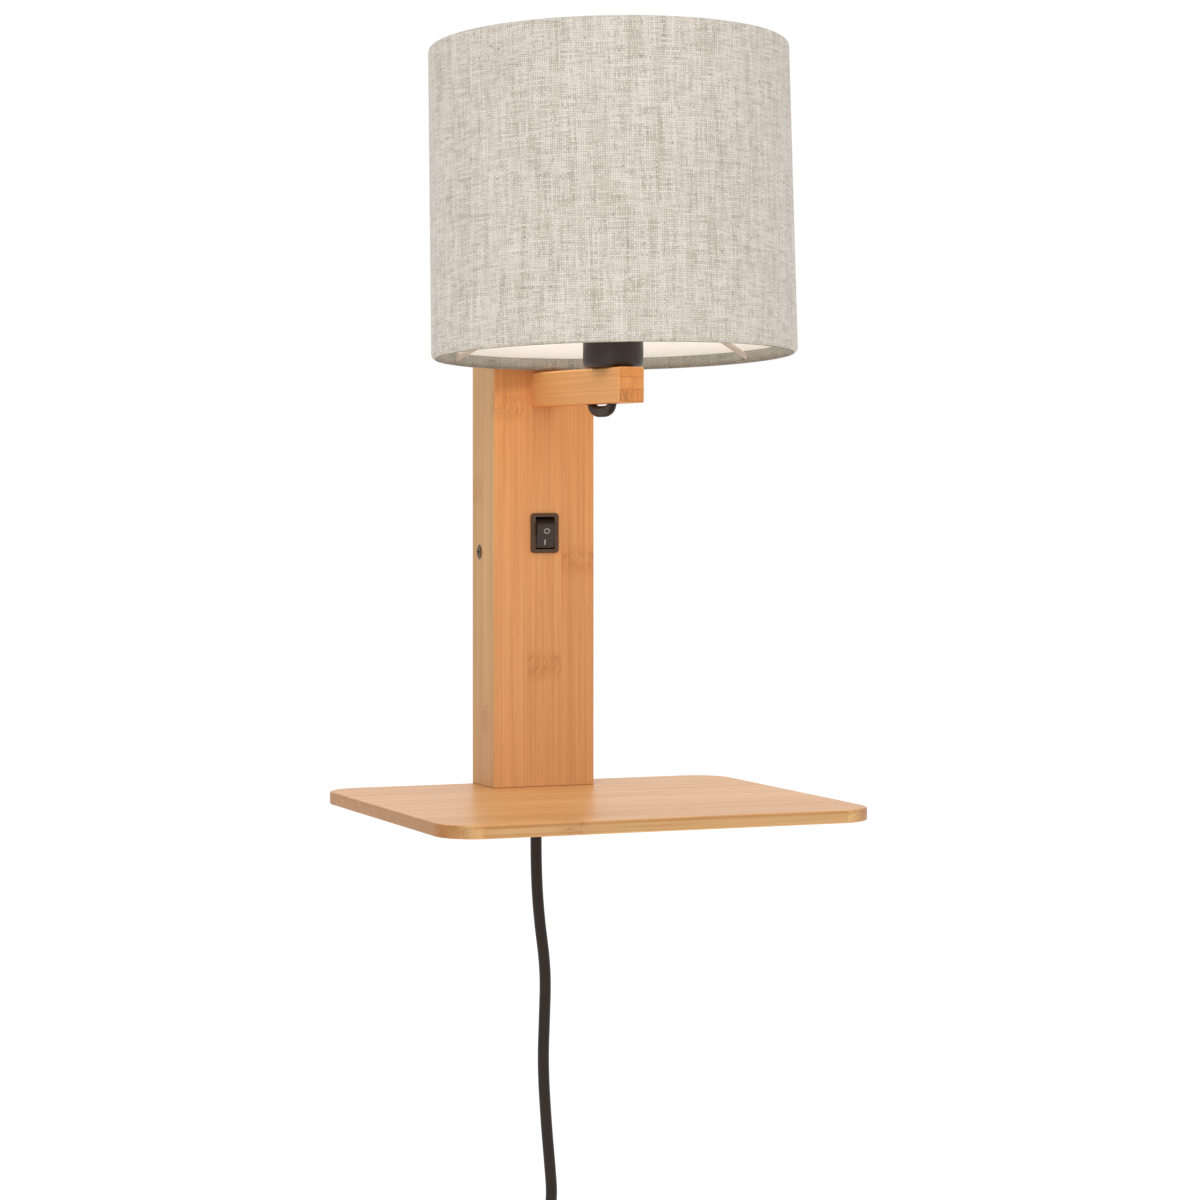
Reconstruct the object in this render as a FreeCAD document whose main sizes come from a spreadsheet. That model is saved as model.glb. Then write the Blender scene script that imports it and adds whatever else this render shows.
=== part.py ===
"""Wall lamp with a shelf: bamboo post, arm and shelf, drum shade, rocker switch and mains cord.

Millimetres. X runs to the right, Y into the wall and Z up. The wall is the plane Y = 0, and the
origin is the middle of the two screw holes of the wall bracket.
"""

import math
import operator
import os

import FreeCAD
import Part
import Sketcher

Vector = FreeCAD.Vector

doc = FreeCAD.newDocument("wall_lamp")
sheet = doc.addObject("Spreadsheet::Sheet", "sizes")

SIZES = [
    # post and shelf
    ("post_width", 56, "post, left to right"),
    ("post_depth", 32, "post, wall to front face"),
    ("board_thick", 6, "boards that the post is glued from"),
    ("post_height", 232, "shelf top to post top"),
    ("shelf_drop", 122, "shelf top below the wall bracket's middle"),
    ("shelf_width", 224, "shelf, left to right"),
    ("shelf_depth", 198, "shelf, wall to front edge"),
    ("shelf_thick", 6.5, "shelf board"),
    ("shelf_corner", 20, "radius of the shelf's corners"),
    ("wood_edge", 1, "rounding of the wooden edges"),
    ("base_tall", 18, "block inside the post's foot"),
    ("base_deep", 18, "the same block, front to back"),
    # arm
    ("arm_width", 13.4, "arm, left to right"),
    ("arm_tall", 17.6, "arm, underside to top"),
    ("arm_drop", 16.5, "arm's top below the post's top"),
    ("arm_reach", 118.5, "arm in front of the post"),
    ("arm_tenon", 14, "arm inside the post"),
    ("block_deep", 16, "block that holds the tenon"),
    ("block_tall", 30, "the same block's height"),
    ("bore_wide", 7, "bore in the arm for the lamp flex"),
    ("bore_rise", 6.2, "that bore above the arm's underside"),
    ("screw_rise", 13.6, "arm screw above the arm's underside"),
    # flex loop under the arm
    ("flex_wide", 5.6, "flat lamp flex, across"),
    ("flex_thick", 3.8, "flat lamp flex, through"),
    ("loop_drop", 4.1, "flex loop's middle line below the arm"),
    ("loop_long", 29, "loop, from the arm's slot to the holder"),
    ("flex_tail", 20, "flex below the bore inside the post"),
    # lampholder
    ("holder_reach", 94.5, "holder's axis in front of the post"),
    ("holder_wide", 30, "lampholder's outer diameter"),
    ("cap_tall", 24, "lower half of the lampholder"),
    ("cap_wall", 2, "its wall"),
    ("cap_floor", 3, "its floor"),
    ("cap_edge", 1.2, "chamfer round its foot"),
    ("core_seat", 12, "insulator's seat above the arm"),
    ("core_thick", 8, "insulator's disc"),
    ("neck_wide", 16.4, "insulator's neck"),
    ("neck_tall", 8, "the same neck's height"),
    ("screw_shell", 22.5, "brass shell that takes the bulb cap"),
    ("thread_wide", 27.8, "threaded top half of the holder"),
    ("shoulder_rise", 40, "shade's seat above the arm"),
    ("shoulder_wide", 33, "flange under the shade"),
    ("shoulder_thick", 2, "the same flange"),
    ("shell_tall", 56, "top of the holder above the arm"),
    ("nipple_wide", 10, "threaded tube between arm and holder"),
    ("nipple_wall", 1.4, "its wall"),
    ("nipple_deep", 10, "the tube inside the arm"),
    ("nut_across", 14, "its locknut, across flats"),
    ("nut_tall", 3.5, "the same nut's height"),
    # bulb
    ("bulb_cap_wide", 13.9, "small screw cap of the bulb"),
    ("bulb_cap_tall", 21.5, "its height"),
    ("globe_wide", 45, "bulb's globe"),
    ("globe_rise", 30, "globe's middle above the bulb cap"),
    ("glass_thick", 0.9, "glass"),
    # shade
    ("shade_wide", 181, "shade's diameter at the bottom"),
    ("shade_top_wide", 179, "shade's diameter at the top"),
    ("shade_tall", 153, "shade's height"),
    ("shade_drop", 35.5, "shade's bottom below its fitter ring"),
    ("shade_lean", 2.9, "degrees that the shade leans to the wall"),
    ("linen_thick", 0.7, "linen skin"),
    ("lining_thick", 0.6, "stiff lining"),
    ("hem_tall", 6, "linen turned in round the ring wires"),
    ("wire_wide", 3, "ring wires and spokes"),
    ("fitter_wide", 40, "flat ring in the middle of the spokes"),
    ("fitter_thick", 1.2, "the same ring"),
    ("ring_wall", 2, "threaded ring that holds the shade"),
    ("ring_flange", 1.6, "its flange, both ways"),
    ("ring_tall", 8, "its height"),
    ("first_spoke", 16, "degrees from +X to the first spoke"),
    # switch
    ("switch_rise", 132.1, "switch's middle above the shelf top"),
    ("bezel_wide", 15.3, "switch bezel, left to right"),
    ("bezel_tall", 20.7, "switch bezel's height"),
    ("bezel_thick", 1.5, "bezel in front of the wood"),
    ("case_wide", 12.9, "switch body behind the bezel"),
    ("case_tall", 18.8, "the same body's height"),
    ("case_deep", 14, "body behind the post's front face"),
    ("case_floor", 1.2, "the same body's back wall"),
    ("window_wide", 10.6, "opening for the rocker"),
    ("window_tall", 16.8, "the same opening's height"),
    ("rocker_gap", 0.3, "rocker to opening, each side"),
    ("rocker_face", 12.6, "rocker's flat face, end to end"),
    ("rocker_rise", 7.5, "face in front of the pivot"),
    ("rocker_root", 1.5, "rocker behind the pivot"),
    ("pivot_deep", 6.2, "pivot behind the bezel's front"),
    ("pivot_wide", 2.4, "rocker's pivot studs"),
    ("pivot_gap", 0.05, "running gap round the studs"),
    ("rocker_throw", 13, "degrees each side of the middle"),
    ("tab_wide", 4.8, "switch tabs"),
    ("tab_thick", 0.8, "switch tabs"),
    ("tab_apart", 10, "switch tabs, middle to middle"),
    ("tab_out", 7, "switch tabs behind the body"),
    # wall bracket
    ("steel_thick", 1.5, "sheet steel of the wall bracket"),
    ("plate_wide", 34, "bracket's plate"),
    ("plate_tall", 116, "the same plate's height"),
    ("ear_tall", 16, "bracket's side ears"),
    ("ear_deep", 18, "ears out from the wall"),
    ("ear_screw", 10.2, "side screws out from the wall"),
    ("wall_hole", 5, "holes for the wall screws"),
    ("wall_apart", 80, "those holes, middle to middle"),
    ("side_screw", 4, "side screws' thread"),
    ("side_head", 7.7, "side screws' head"),
    ("side_long", 11.7, "side screws' length"),
    ("wood_screw", 3.5, "wood screws' shank"),
    ("small_screw", 2.8, "small screws' shank"),
    # cord and connections
    ("cord_wide", 6, "round mains cord"),
    ("cord_out", 20, "cord out from the wall"),
    ("gland_wide", 10.9, "cord gland in the shelf"),
    ("gland_flange", 16, "gland's flange"),
    ("flange_thick", 1.5, "gland's flange"),
    ("relief_long", 18, "gland's taper under the shelf"),
    ("clamp_tall", 8, "cord clamp"),
    ("clamp_wide", 24, "cord clamp"),
    ("clamp_deep", 10, "cord clamp"),
    ("clamp_apart", 17, "its screws, middle to middle"),
    ("cord_tail", 8, "cord above its clamp"),
    ("lead_wide", 2, "single insulated wires"),
    ("connector_rise", 60, "terminal block above the shelf top"),
    ("connector_tall", 16, "terminal block"),
    ("connector_wide", 20, "terminal block"),
    ("connector_deep", 12, "terminal block"),
    ("pole_apart", 10, "its poles, middle to middle"),
    ("clamping_apart", 9, "the two screws of one pole, middle to middle"),
    ("coil_wide", 74, "tied coil, middle of the bundle"),
    ("bundle_wide", 18.6, "the bundle's thickness"),
    ("cord_rest", 26, "cord between the coil and the plug"),
    ("plug_wide", 25.4, "flat plug"),
    ("plug_thick", 13.7, "flat plug"),
    ("plug_long", 34, "flat plug without its taper"),
    ("plug_taper", 16, "the plug's taper"),
    ("pin_wide", 4, "plug pins"),
    ("pin_long", 19, "plug pins"),
    ("pin_apart", 19, "plug pins, middle to middle"),
    ("fit_gap", 0.05, "gap of a close fit"),
    ("open_gap", 0.4, "gap of a loose hole"),
]

for row, (name, number, note) in enumerate(SIZES, start=1):
    sheet.set(f"A{row}", name)
    sheet.set(f"B{row}", str(number))
    sheet.setAlias(f"B{row}", name)
    sheet.set(f"C{row}", note)
doc.recompute()


# ---------------------------------------------------------------- sizes and formulas

SIGNS = {"+": operator.add, "-": operator.sub, "*": operator.mul, "/": operator.truediv}


class Size:
    """A length with its number and the sheet formula that gives it."""

    def __init__(self, formula, number):
        self.formula = formula
        self.number = float(number)

    def joined(self, sign, other, swapped=False):
        other = as_size(other)
        first, second = (other, self) if swapped else (self, other)
        formula = f"({first.formula} {sign} {second.formula})"
        return Size(formula, SIGNS[sign](first.number, second.number))

    def __add__(self, other):
        return self.joined("+", other)

    def __radd__(self, other):
        return self.joined("+", other, swapped=True)

    def __sub__(self, other):
        return self.joined("-", other)

    def __rsub__(self, other):
        return self.joined("-", other, swapped=True)

    def __mul__(self, other):
        return self.joined("*", other)

    def __rmul__(self, other):
        return self.joined("*", other, swapped=True)

    def __truediv__(self, other):
        return self.joined("/", other)

    def __neg__(self):
        return self * -1

    def __float__(self):
        return self.number


def as_size(value):
    return value if isinstance(value, Size) else Size(f"({value})", value)


class Sheet:
    """Gives each size of the sheet by its name."""

    def __getattr__(self, name):
        return Size("sizes." + name, sheet.get(name))


mm = Sheet()


# ---------------------------------------------------------------- building blocks

NODES = []
DIRECTIONS = {
    "+Z": FreeCAD.Rotation(),
    "-Z": FreeCAD.Rotation(Vector(1, 0, 0), 180),
    "+X": FreeCAD.Rotation(Vector(0, 1, 0), 90),
    "-X": FreeCAD.Rotation(Vector(0, 1, 0), -90),
    "+Y": FreeCAD.Rotation(Vector(1, 0, 0), -90),
    "-Y": FreeCAD.Rotation(Vector(1, 0, 0), 90),
}


def keep(name, part):
    """Makes the part a sub-part of the lamp, under the name that its file gets."""
    part.Label = name
    NODES.append(part)
    return part


def bind(part, prop, size):
    part.setExpression(prop, as_size(size).formula)


def place(part, x, y, z, way="+Z"):
    """Puts the part at a point of the lamp, with its own +Z along the way given."""
    part.Placement = FreeCAD.Placement(Vector(), DIRECTIONS[way])
    bind(part, "Placement.Base.x", x)
    bind(part, "Placement.Base.y", y)
    bind(part, "Placement.Base.z", z)
    return part


def box(low, sides):
    part = doc.addObject("Part::Box", "box")
    for prop, side in zip(("Length", "Width", "Height"), sides):
        bind(part, prop, side)
    return place(part, *low)


def rod(diameter, length, at, way="+Z"):
    part = doc.addObject("Part::Cylinder", "rod")
    bind(part, "Radius", diameter / 2)
    bind(part, "Height", length)
    return place(part, *at, way)


def cone(start, end, length, at, way="+Z"):
    """A cone from the diameter at its start to the one at its end."""
    part = doc.addObject("Part::Cone", "cone")
    bind(part, "Radius1", start / 2)
    bind(part, "Radius2", end / 2)
    bind(part, "Height", length)
    return place(part, *at, way)


def hexagon(across, height, at, way="+Z"):
    part = doc.addObject("Part::Prism", "hexagon")
    part.Polygon = 6
    bind(part, "Circumradius", across / math.sqrt(3))
    bind(part, "Height", height)
    return place(part, *at, way)


def ring(middle, thickness, at, way="+Z"):
    """A ring of round wire, given by its middle diameter and its thickness."""
    part = doc.addObject("Part::Torus", "ring")
    bind(part, "Radius1", middle / 2)
    bind(part, "Radius2", thickness / 2)
    return place(part, *at, way)


def fuse(*pieces):
    part = doc.addObject("Part::MultiFuse", "fused")
    part.Shapes = list(pieces)
    return part


def cut(base, *tools):
    part = doc.addObject("Part::Cut", "cut")
    part.Base = base
    part.Tool = tools[0] if len(tools) == 1 else fuse(*tools)
    return part


def group(*pieces):
    """Several separate solids of one kind, kept in one sub-part."""
    part = doc.addObject("Part::Compound", "group")
    part.Links = list(pieces)
    return part


def new_body(name, x, y, z):
    body = doc.addObject("PartDesign::Body", name)
    return place(body, x, y, z)


def outline(body, plane, *loops):
    """A sketch on one of the body's planes, with each corner of each loop tied to the sheet."""
    drawing = body.newObject("Sketcher::SketchObject", body.Name + "_outline")
    support = next(face for face in body.Origin.OriginFeatures if face.Role == plane)
    drawing.AttachmentSupport = [(support, "")]
    drawing.MapMode = "FlatFace"
    for corners in loops:
        first = drawing.GeometryCount
        points = [Vector(float(x), float(y), 0) for x, y in corners]
        for start, end in zip(points, points[1:] + points[:1]):
            drawing.addGeometry(Part.LineSegment(start, end))
        for number, (x, y) in enumerate(corners):
            line = first + number
            following = first + (number + 1) % len(corners)
            drawing.addConstraint(Sketcher.Constraint("Coincident", line, 2, following, 1))
            tie(drawing, "DistanceX", line, x)
            tie(drawing, "DistanceY", line, y)
    return drawing


def tie(drawing, kind, line, size):
    """Ties one coordinate of a line's start, measured from the sketch's origin."""
    rule = Sketcher.Constraint(kind, -1, 1, line, 1, float(size))
    index = drawing.addConstraint(rule)
    drawing.setExpression(f"Constraints[{index}]", as_size(size).formula)


def rectangle(width, height, x=0, y=0):
    """Corners of a rectangle about a middle point."""
    return [(x - width / 2, y - height / 2), (x + width / 2, y - height / 2),
            (x + width / 2, y + height / 2), (x - width / 2, y + height / 2)]


def pad(body, drawing, length):
    feature = body.newObject("PartDesign::Pad", body.Name + "_pad")
    feature.Profile = drawing
    bind(feature, "Length", length)
    doc.recompute()
    return feature


def pocket(body, drawing, length, reverse=True):
    """Removes the outline over a length, along the way that the first pad went."""
    feature = body.newObject("PartDesign::Pocket", body.Name + "_pocket")
    feature.Profile = drawing
    feature.Reversed = reverse
    bind(feature, "Length", length)
    doc.recompute()
    return feature


def spin(body, drawing):
    """Turns an outline of the XZ plane round the body's own Z axis."""
    feature = body.newObject("PartDesign::Revolution", body.Name + "_turned")
    feature.Profile = drawing
    feature.ReferenceAxis = (drawing, ["V_Axis"])
    feature.Angle = 360
    doc.recompute()
    return feature


def round_edges(body, feature, radius, chosen):
    """Rounds the edges whose two end points and middle all pass the test."""
    names = []
    for number, edge in enumerate(feature.Shape.Edges, start=1):
        middle = edge.valueAt((edge.FirstParameter + edge.LastParameter) / 2)
        points = [vertex.Point for vertex in edge.Vertexes] + [middle]
        if all(chosen(point) for point in points):
            names.append(f"Edge{number}")
    rounded = body.newObject("PartDesign::Fillet", body.Name + "_rounded")
    rounded.Base = (feature, names)
    bind(rounded, "Radius", radius)
    doc.recompute()
    return rounded


def turned(name, x, y, z, corners):
    """A body turned on a lathe, from its outline of radius and height pairs."""
    body = new_body(name, x, y, z)
    spin(body, outline(body, "XZ_Plane", corners))
    return body


def near(value, target):
    return abs(value - float(target)) < 0.01


def solid(name, shape):
    part = doc.addObject("Part::Feature", name)
    part.Shape = shape
    return keep(name, part)


CROSS_WIDE = 0.09
CROSS_ACROSS = 0.52
DOME_TALL = 0.065
DOME_TOP = 0.7
CROSS_DEEP = 0.15
PAN_TALL = 0.35
PAN_TOP = 0.8


def cross(head, top):
    """The two slots of a cross recess, sunk from the top of a screw's head."""
    across = CROSS_ACROSS * head
    narrow = CROSS_WIDE * head
    deep = CROSS_DEEP * head
    return [box((-across / 2, -narrow / 2, top - deep), (across, narrow, deep)),
            box((-narrow / 2, -across / 2, top - deep), (narrow, across, deep))]


def countersunk(head, shank, length, at, way):
    """A countersunk screw with a slightly domed head, which starts at the point given."""
    sink = (head - shank) / 2
    top = DOME_TALL * head
    dome = cone(head, DOME_TOP * head, top, (0, 0, 0))
    tapered = cone(head, shank, sink, (0, 0, 0), "-Z")
    stem = rod(shank, length, (0, 0, 0), "-Z")
    return place(cut(fuse(dome, tapered, stem), *cross(head, top)), *at, way)


def pan_head(head, shank, length, at, way):
    """A pan head screw: its head sits on the point given."""
    tall = PAN_TALL * head
    top = cone(head, PAN_TOP * head, tall, (0, 0, 0))
    stem = rod(shank, length, (0, 0, 0), "-Z")
    return place(cut(fuse(top, stem), *cross(head, tall)), *at, way)


def sink_hole(head, shank, length, at, way):
    """The hole that a countersunk screw sits in, cut from the head's top."""
    hole = shank + 2 * mm.fit_gap
    mouth = head + 2 * mm.fit_gap
    sink = (head - shank) / 2
    return fuse(cone(mouth, hole, sink, at, way), rod(hole, length, at, way))


# ---------------------------------------------------------------- places that sub-parts share

SHELF_TOP = -mm.shelf_drop
SHELF_LOW = SHELF_TOP - mm.shelf_thick
FRONT = -mm.post_depth
BOARD_BACK = FRONT + mm.board_thick
INSIDE_WIDE = mm.post_width - 2 * mm.board_thick
POST_TOP = SHELF_TOP + mm.post_height
ARM_HIGH = POST_TOP - mm.arm_drop
ARM_LOW = ARM_HIGH - mm.arm_tall
ARM_ROOT = FRONT + mm.arm_tenon
BORE_Z = ARM_LOW + mm.bore_rise
ARM_SCREW_Z = ARM_LOW + mm.screw_rise
BLOCK_BACK = BOARD_BACK + mm.block_deep
HOLDER_Y = FRONT - mm.holder_reach
SWITCH_Z = SHELF_TOP + mm.switch_rise
PIVOT_Y = FRONT - mm.bezel_thick + mm.pivot_deep
CASE_BACK = FRONT + mm.case_deep
BASE_TOP = SHELF_TOP + mm.base_tall
CORD_Y = -mm.cord_out
CONNECTOR_LOW = SHELF_TOP + mm.connector_rise
CONNECTOR_TOP = CONNECTOR_LOW + mm.connector_tall
CONNECTOR_BACK = BOARD_BACK + mm.connector_deep
CONNECTOR_MIDDLE = CONNECTOR_LOW + mm.connector_tall / 2
CLAMP_TOP = BASE_TOP + mm.clamp_tall
CORD_TOP = CLAMP_TOP + mm.cord_tail
GLAND_LOW = SHELF_LOW - mm.flange_thick - mm.relief_long
FLEX_LOW = BORE_Z - mm.flex_tail
SLOT_Y = HOLDER_Y + mm.loop_long
EAR_OUT = INSIDE_WIDE / 2 - mm.fit_gap
SHELF_SCREW_X = INSIDE_WIDE / 2 - 8
SHELF_SCREW_Y = BOARD_BACK + mm.base_deep / 2
CLAMP_SCREW_X = mm.clamp_apart / 2

# how far screws go into the wood or plastic behind what they hold, and the pilot holes' spare depth
SHELF_SCREW_BITE = 12
CLAMP_SCREW_BITE = 7.5
FIXING_BITE = 3.8
ARM_SCREW_BITE = 18
PILOT_SPARE = 0.2

# room behind the flex where it bends down out of the arm
SLOT_BEND_ROOM = 1


# ---------------------------------------------------------------- post

def post_front_board():
    body = new_body("front_board_blank", 0, BOARD_BACK, SHELF_TOP)
    face = outline(body, "XZ_Plane", rectangle(mm.post_width, mm.post_height, 0, mm.post_height / 2))
    board = pad(body, face, mm.board_thick)
    front = -float(mm.board_thick)
    side = float(mm.post_width) / 2
    high = mm.post_height

    def outer_edge(point):
        upright = near(abs(point.x), side)
        return near(point.y, front) and (upright or near(point.z, high))

    round_edges(body, board, mm.wood_edge, outer_edge)
    arm_middle = mm.post_height - mm.arm_drop - mm.arm_tall / 2
    mortise = rectangle(mm.arm_width, mm.arm_tall, 0, arm_middle)
    pocket(body, outline(body, "XZ_Plane", mortise), mm.board_thick)
    case = rectangle(mm.case_wide + 2 * mm.fit_gap, mm.case_tall + 2 * mm.fit_gap, 0, mm.switch_rise)
    pocket(body, outline(body, "XZ_Plane", case), mm.board_thick)
    deep = FIXING_BITE + PILOT_SPARE
    pilot = rod(mm.small_screw + 2 * mm.fit_gap, deep, (0, BOARD_BACK, CONNECTOR_MIDDLE), "-Y")
    keep("post_front_board", cut(body, pilot))


def post_side(name, side):
    """One side board, with the sunk hole of its side screw; side is -1 for left and 1 for right."""
    inner = INSIDE_WIDE / 2
    low_x = inner if side > 0 else -(inner + mm.board_thick)
    board = box((low_x, BOARD_BACK, SHELF_TOP), (mm.board_thick, -BOARD_BACK, mm.post_height))
    way = "-X" if side > 0 else "+X"
    head = (side * mm.post_width / 2, -mm.ear_screw, 0)
    hole = sink_hole(mm.side_head, mm.side_screw, mm.board_thick, head, way)
    keep(name, cut(board, hole))


def post_cap():
    low = (-INSIDE_WIDE / 2, BOARD_BACK, POST_TOP - mm.board_thick)
    keep("post_cap", box(low, (INSIDE_WIDE, -BOARD_BACK, mm.board_thick)))


def base_block():
    low = (-INSIDE_WIDE / 2, BOARD_BACK, SHELF_TOP)
    block = box(low, (INSIDE_WIDE, mm.base_deep, mm.base_tall))
    passage = rod(mm.cord_wide + 2 * mm.open_gap, mm.base_tall, (0, CORD_Y, SHELF_TOP))
    pilots = []
    for side in (-1, 1):
        at = (side * SHELF_SCREW_X, SHELF_SCREW_Y, SHELF_TOP)
        pilots.append(rod(mm.wood_screw + 2 * mm.fit_gap, SHELF_SCREW_BITE + PILOT_SPARE, at))
        at = (side * CLAMP_SCREW_X, CORD_Y, BASE_TOP)
        pilots.append(rod(mm.small_screw + 2 * mm.fit_gap, CLAMP_SCREW_BITE + PILOT_SPARE, at, "-Z"))
    keep("base_block", cut(block, passage, *pilots))


def shelf():
    body = new_body("shelf_blank", 0, 0, SHELF_LOW)
    corners = rectangle(mm.shelf_width, mm.shelf_depth, 0, -mm.shelf_depth / 2)
    board = pad(body, outline(body, "XY_Plane", corners), mm.shelf_thick)
    side = float(mm.shelf_width) / 2
    ends = (0.0, -float(mm.shelf_depth))
    thick = float(mm.shelf_thick)

    def corner_edge(point):
        return near(abs(point.x), side) and (near(point.y, ends[0]) or near(point.y, ends[1]))

    rounded = round_edges(body, board, mm.shelf_corner, corner_edge)
    round_edges(body, rounded, mm.wood_edge, lambda point: near(point.z, 0) or near(point.z, thick))
    passage = rod(mm.gland_wide + 2 * mm.fit_gap, mm.shelf_thick, (0, CORD_Y, SHELF_LOW))
    holes = []
    for side in (-1, 1):
        at = (side * SHELF_SCREW_X, SHELF_SCREW_Y, SHELF_LOW)
        holes.append(sink_hole(2 * mm.wood_screw, mm.wood_screw, mm.shelf_thick, at, "+Z"))
    keep("shelf", cut(body, passage, *holes))


def shelf_screws():
    pair = []
    for side in (-1, 1):
        at = (side * SHELF_SCREW_X, SHELF_SCREW_Y, SHELF_LOW)
        length = mm.shelf_thick + SHELF_SCREW_BITE
        pair.append(countersunk(2 * mm.wood_screw, mm.wood_screw, length, at, "-Z"))
    keep("shelf_screws", group(*pair))


# ---------------------------------------------------------------- wall bracket

def wall_bracket():
    body = new_body("bracket_plate", 0, 0, 0)
    wide = mm.plate_wide / 2
    tall = mm.plate_tall / 2
    ear = mm.ear_tall / 2
    corners = [(-wide, -tall), (wide, -tall), (wide, -ear), (EAR_OUT, -ear), (EAR_OUT, ear), (wide, ear),
               (wide, tall), (-wide, tall), (-wide, ear), (-EAR_OUT, ear), (-EAR_OUT, -ear), (-wide, -ear)]
    pad(body, outline(body, "XZ_Plane", corners), mm.steel_thick)
    ears = []
    holes = []
    for side in (-1, 1):
        low_x = EAR_OUT - mm.steel_thick if side > 0 else -EAR_OUT
        ears.append(box((low_x, -mm.ear_deep, -ear), (mm.steel_thick, mm.ear_deep, mm.ear_tall)))
        way = "-X" if side > 0 else "+X"
        at = (side * EAR_OUT, -mm.ear_screw, 0)
        holes.append(rod(mm.side_screw + 2 * mm.fit_gap, mm.steel_thick, at, way))
        at = (0, 0, side * mm.wall_apart / 2)
        holes.append(rod(mm.wall_hole, mm.steel_thick, at, "-Y"))
    keep("wall_bracket", cut(fuse(body, *ears), *holes))


NUT_ACROSS = 1.75
NUT_TALL = 0.8


def bracket_nuts():
    pair = []
    for side in (-1, 1):
        at = (side * (EAR_OUT - mm.steel_thick), -mm.ear_screw, 0)
        way = "-X" if side > 0 else "+X"
        blank = hexagon(NUT_ACROSS * mm.side_screw, NUT_TALL * mm.side_screw, at, way)
        thread = rod(mm.side_screw + 2 * mm.fit_gap, NUT_TALL * mm.side_screw, at, way)
        pair.append(cut(blank, thread))
    keep("bracket_nuts", group(*pair))


def side_screws():
    pair = []
    for side in (-1, 1):
        at = (side * mm.post_width / 2, -mm.ear_screw, 0)
        way = "+X" if side > 0 else "-X"
        pair.append(countersunk(mm.side_head, mm.side_screw, mm.side_long, at, way))
    keep("side_screws", group(*pair))


# ---------------------------------------------------------------- arm

def arm():
    body = new_body("arm_blank", 0, ARM_ROOT, ARM_LOW)
    length = mm.arm_reach + mm.arm_tenon
    section = rectangle(mm.arm_width, mm.arm_tall, 0, mm.arm_tall / 2)
    bar = pad(body, outline(body, "XZ_Plane", section), length)
    tip = -float(length)
    side = float(mm.arm_width) / 2
    tall = float(mm.arm_tall)

    def long_or_tip_edge(point):
        on_side = near(abs(point.x), side)
        on_flat = near(point.z, 0) or near(point.z, tall)
        return (on_side and on_flat) or (near(point.y, tip) and (on_side or on_flat))

    round_edges(body, bar, mm.wood_edge, long_or_tip_edge)
    slot_half = mm.flex_thick / 2 + 2 * mm.open_gap
    bore_end = SLOT_Y - slot_half
    bore = rod(mm.bore_wide, ARM_ROOT - bore_end, (0, ARM_ROOT, BORE_Z), "-Y")
    slot_wide = mm.flex_wide + 2 * mm.open_gap
    slot_long = 2 * slot_half + SLOT_BEND_ROOM
    slot = box((-slot_wide / 2, bore_end, ARM_LOW), (slot_wide, slot_long, mm.bore_rise))
    way_up = rod(mm.nipple_wide - 2 * mm.nipple_wall, mm.arm_tall, (0, HOLDER_Y, ARM_LOW))
    thread = rod(mm.nipple_wide + 2 * mm.fit_gap, mm.nipple_deep, (0, HOLDER_Y, ARM_HIGH), "-Z")
    deep = ARM_SCREW_BITE + PILOT_SPARE
    pilot = rod(mm.wood_screw + 2 * mm.fit_gap, deep, (0, ARM_ROOT, ARM_SCREW_Z), "-Y")
    keep("arm", cut(body, bore, slot, way_up, thread, pilot))


def arm_block():
    low_z = ARM_LOW + (mm.arm_tall - mm.block_tall) / 2
    low = (-INSIDE_WIDE / 2, BOARD_BACK, low_z)
    block = box(low, (INSIDE_WIDE, mm.block_deep, mm.block_tall))
    mortise = box((-mm.arm_width / 2, BOARD_BACK, ARM_LOW),
                  (mm.arm_width, mm.arm_tenon - mm.board_thick, mm.arm_tall))
    passage = rod(mm.bore_wide, mm.block_deep, (0, BLOCK_BACK, BORE_Z), "-Y")
    hole = rod(mm.wood_screw + 2 * mm.fit_gap, mm.block_deep, (0, BLOCK_BACK, ARM_SCREW_Z), "-Y")
    keep("arm_block", cut(block, mortise, passage, hole))


def arm_screw():
    at = (0, BLOCK_BACK, ARM_SCREW_Z)
    length = BLOCK_BACK - ARM_ROOT + ARM_SCREW_BITE
    keep("arm_screw", pan_head(2 * mm.wood_screw, mm.wood_screw, length, at, "+Y"))


# ---------------------------------------------------------------- lampholder and bulb

THREAD_SHOWN = 1
SEAT_LEDGE = 1.6
CORE_PIN = 2.2
CONTACT_REACH = 3.5
CONTACT_THICK = 1.5
TIP_LOW_REACH = 2.4
TIP_REACH = 5.2
TIP_TALL = 2.5
CAP_SHEET = 0.7
THREAD_GAP = 0.2
NECK_TOP = mm.core_seat + mm.core_thick + mm.neck_tall
BULB_LOW = NECK_TOP + CONTACT_THICK
BULB_CAP_LOW = BULB_LOW + TIP_TALL
BULB_CAP_TOP = BULB_CAP_LOW + mm.bulb_cap_tall


def nipple():
    length = mm.nipple_deep + mm.cap_floor + mm.nut_tall + THREAD_SHOWN
    at = (0, HOLDER_Y, ARM_HIGH - mm.nipple_deep)
    tube = rod(mm.nipple_wide, length, at)
    keep("nipple", cut(tube, rod(mm.nipple_wide - 2 * mm.nipple_wall, length, at)))


def nipple_nut():
    at = (0, HOLDER_Y, ARM_HIGH + mm.cap_floor)
    thread = rod(mm.nipple_wide + 2 * mm.fit_gap, mm.nut_tall, at)
    keep("nipple_nut", cut(hexagon(mm.nut_across, mm.nut_tall, at), thread))


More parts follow.
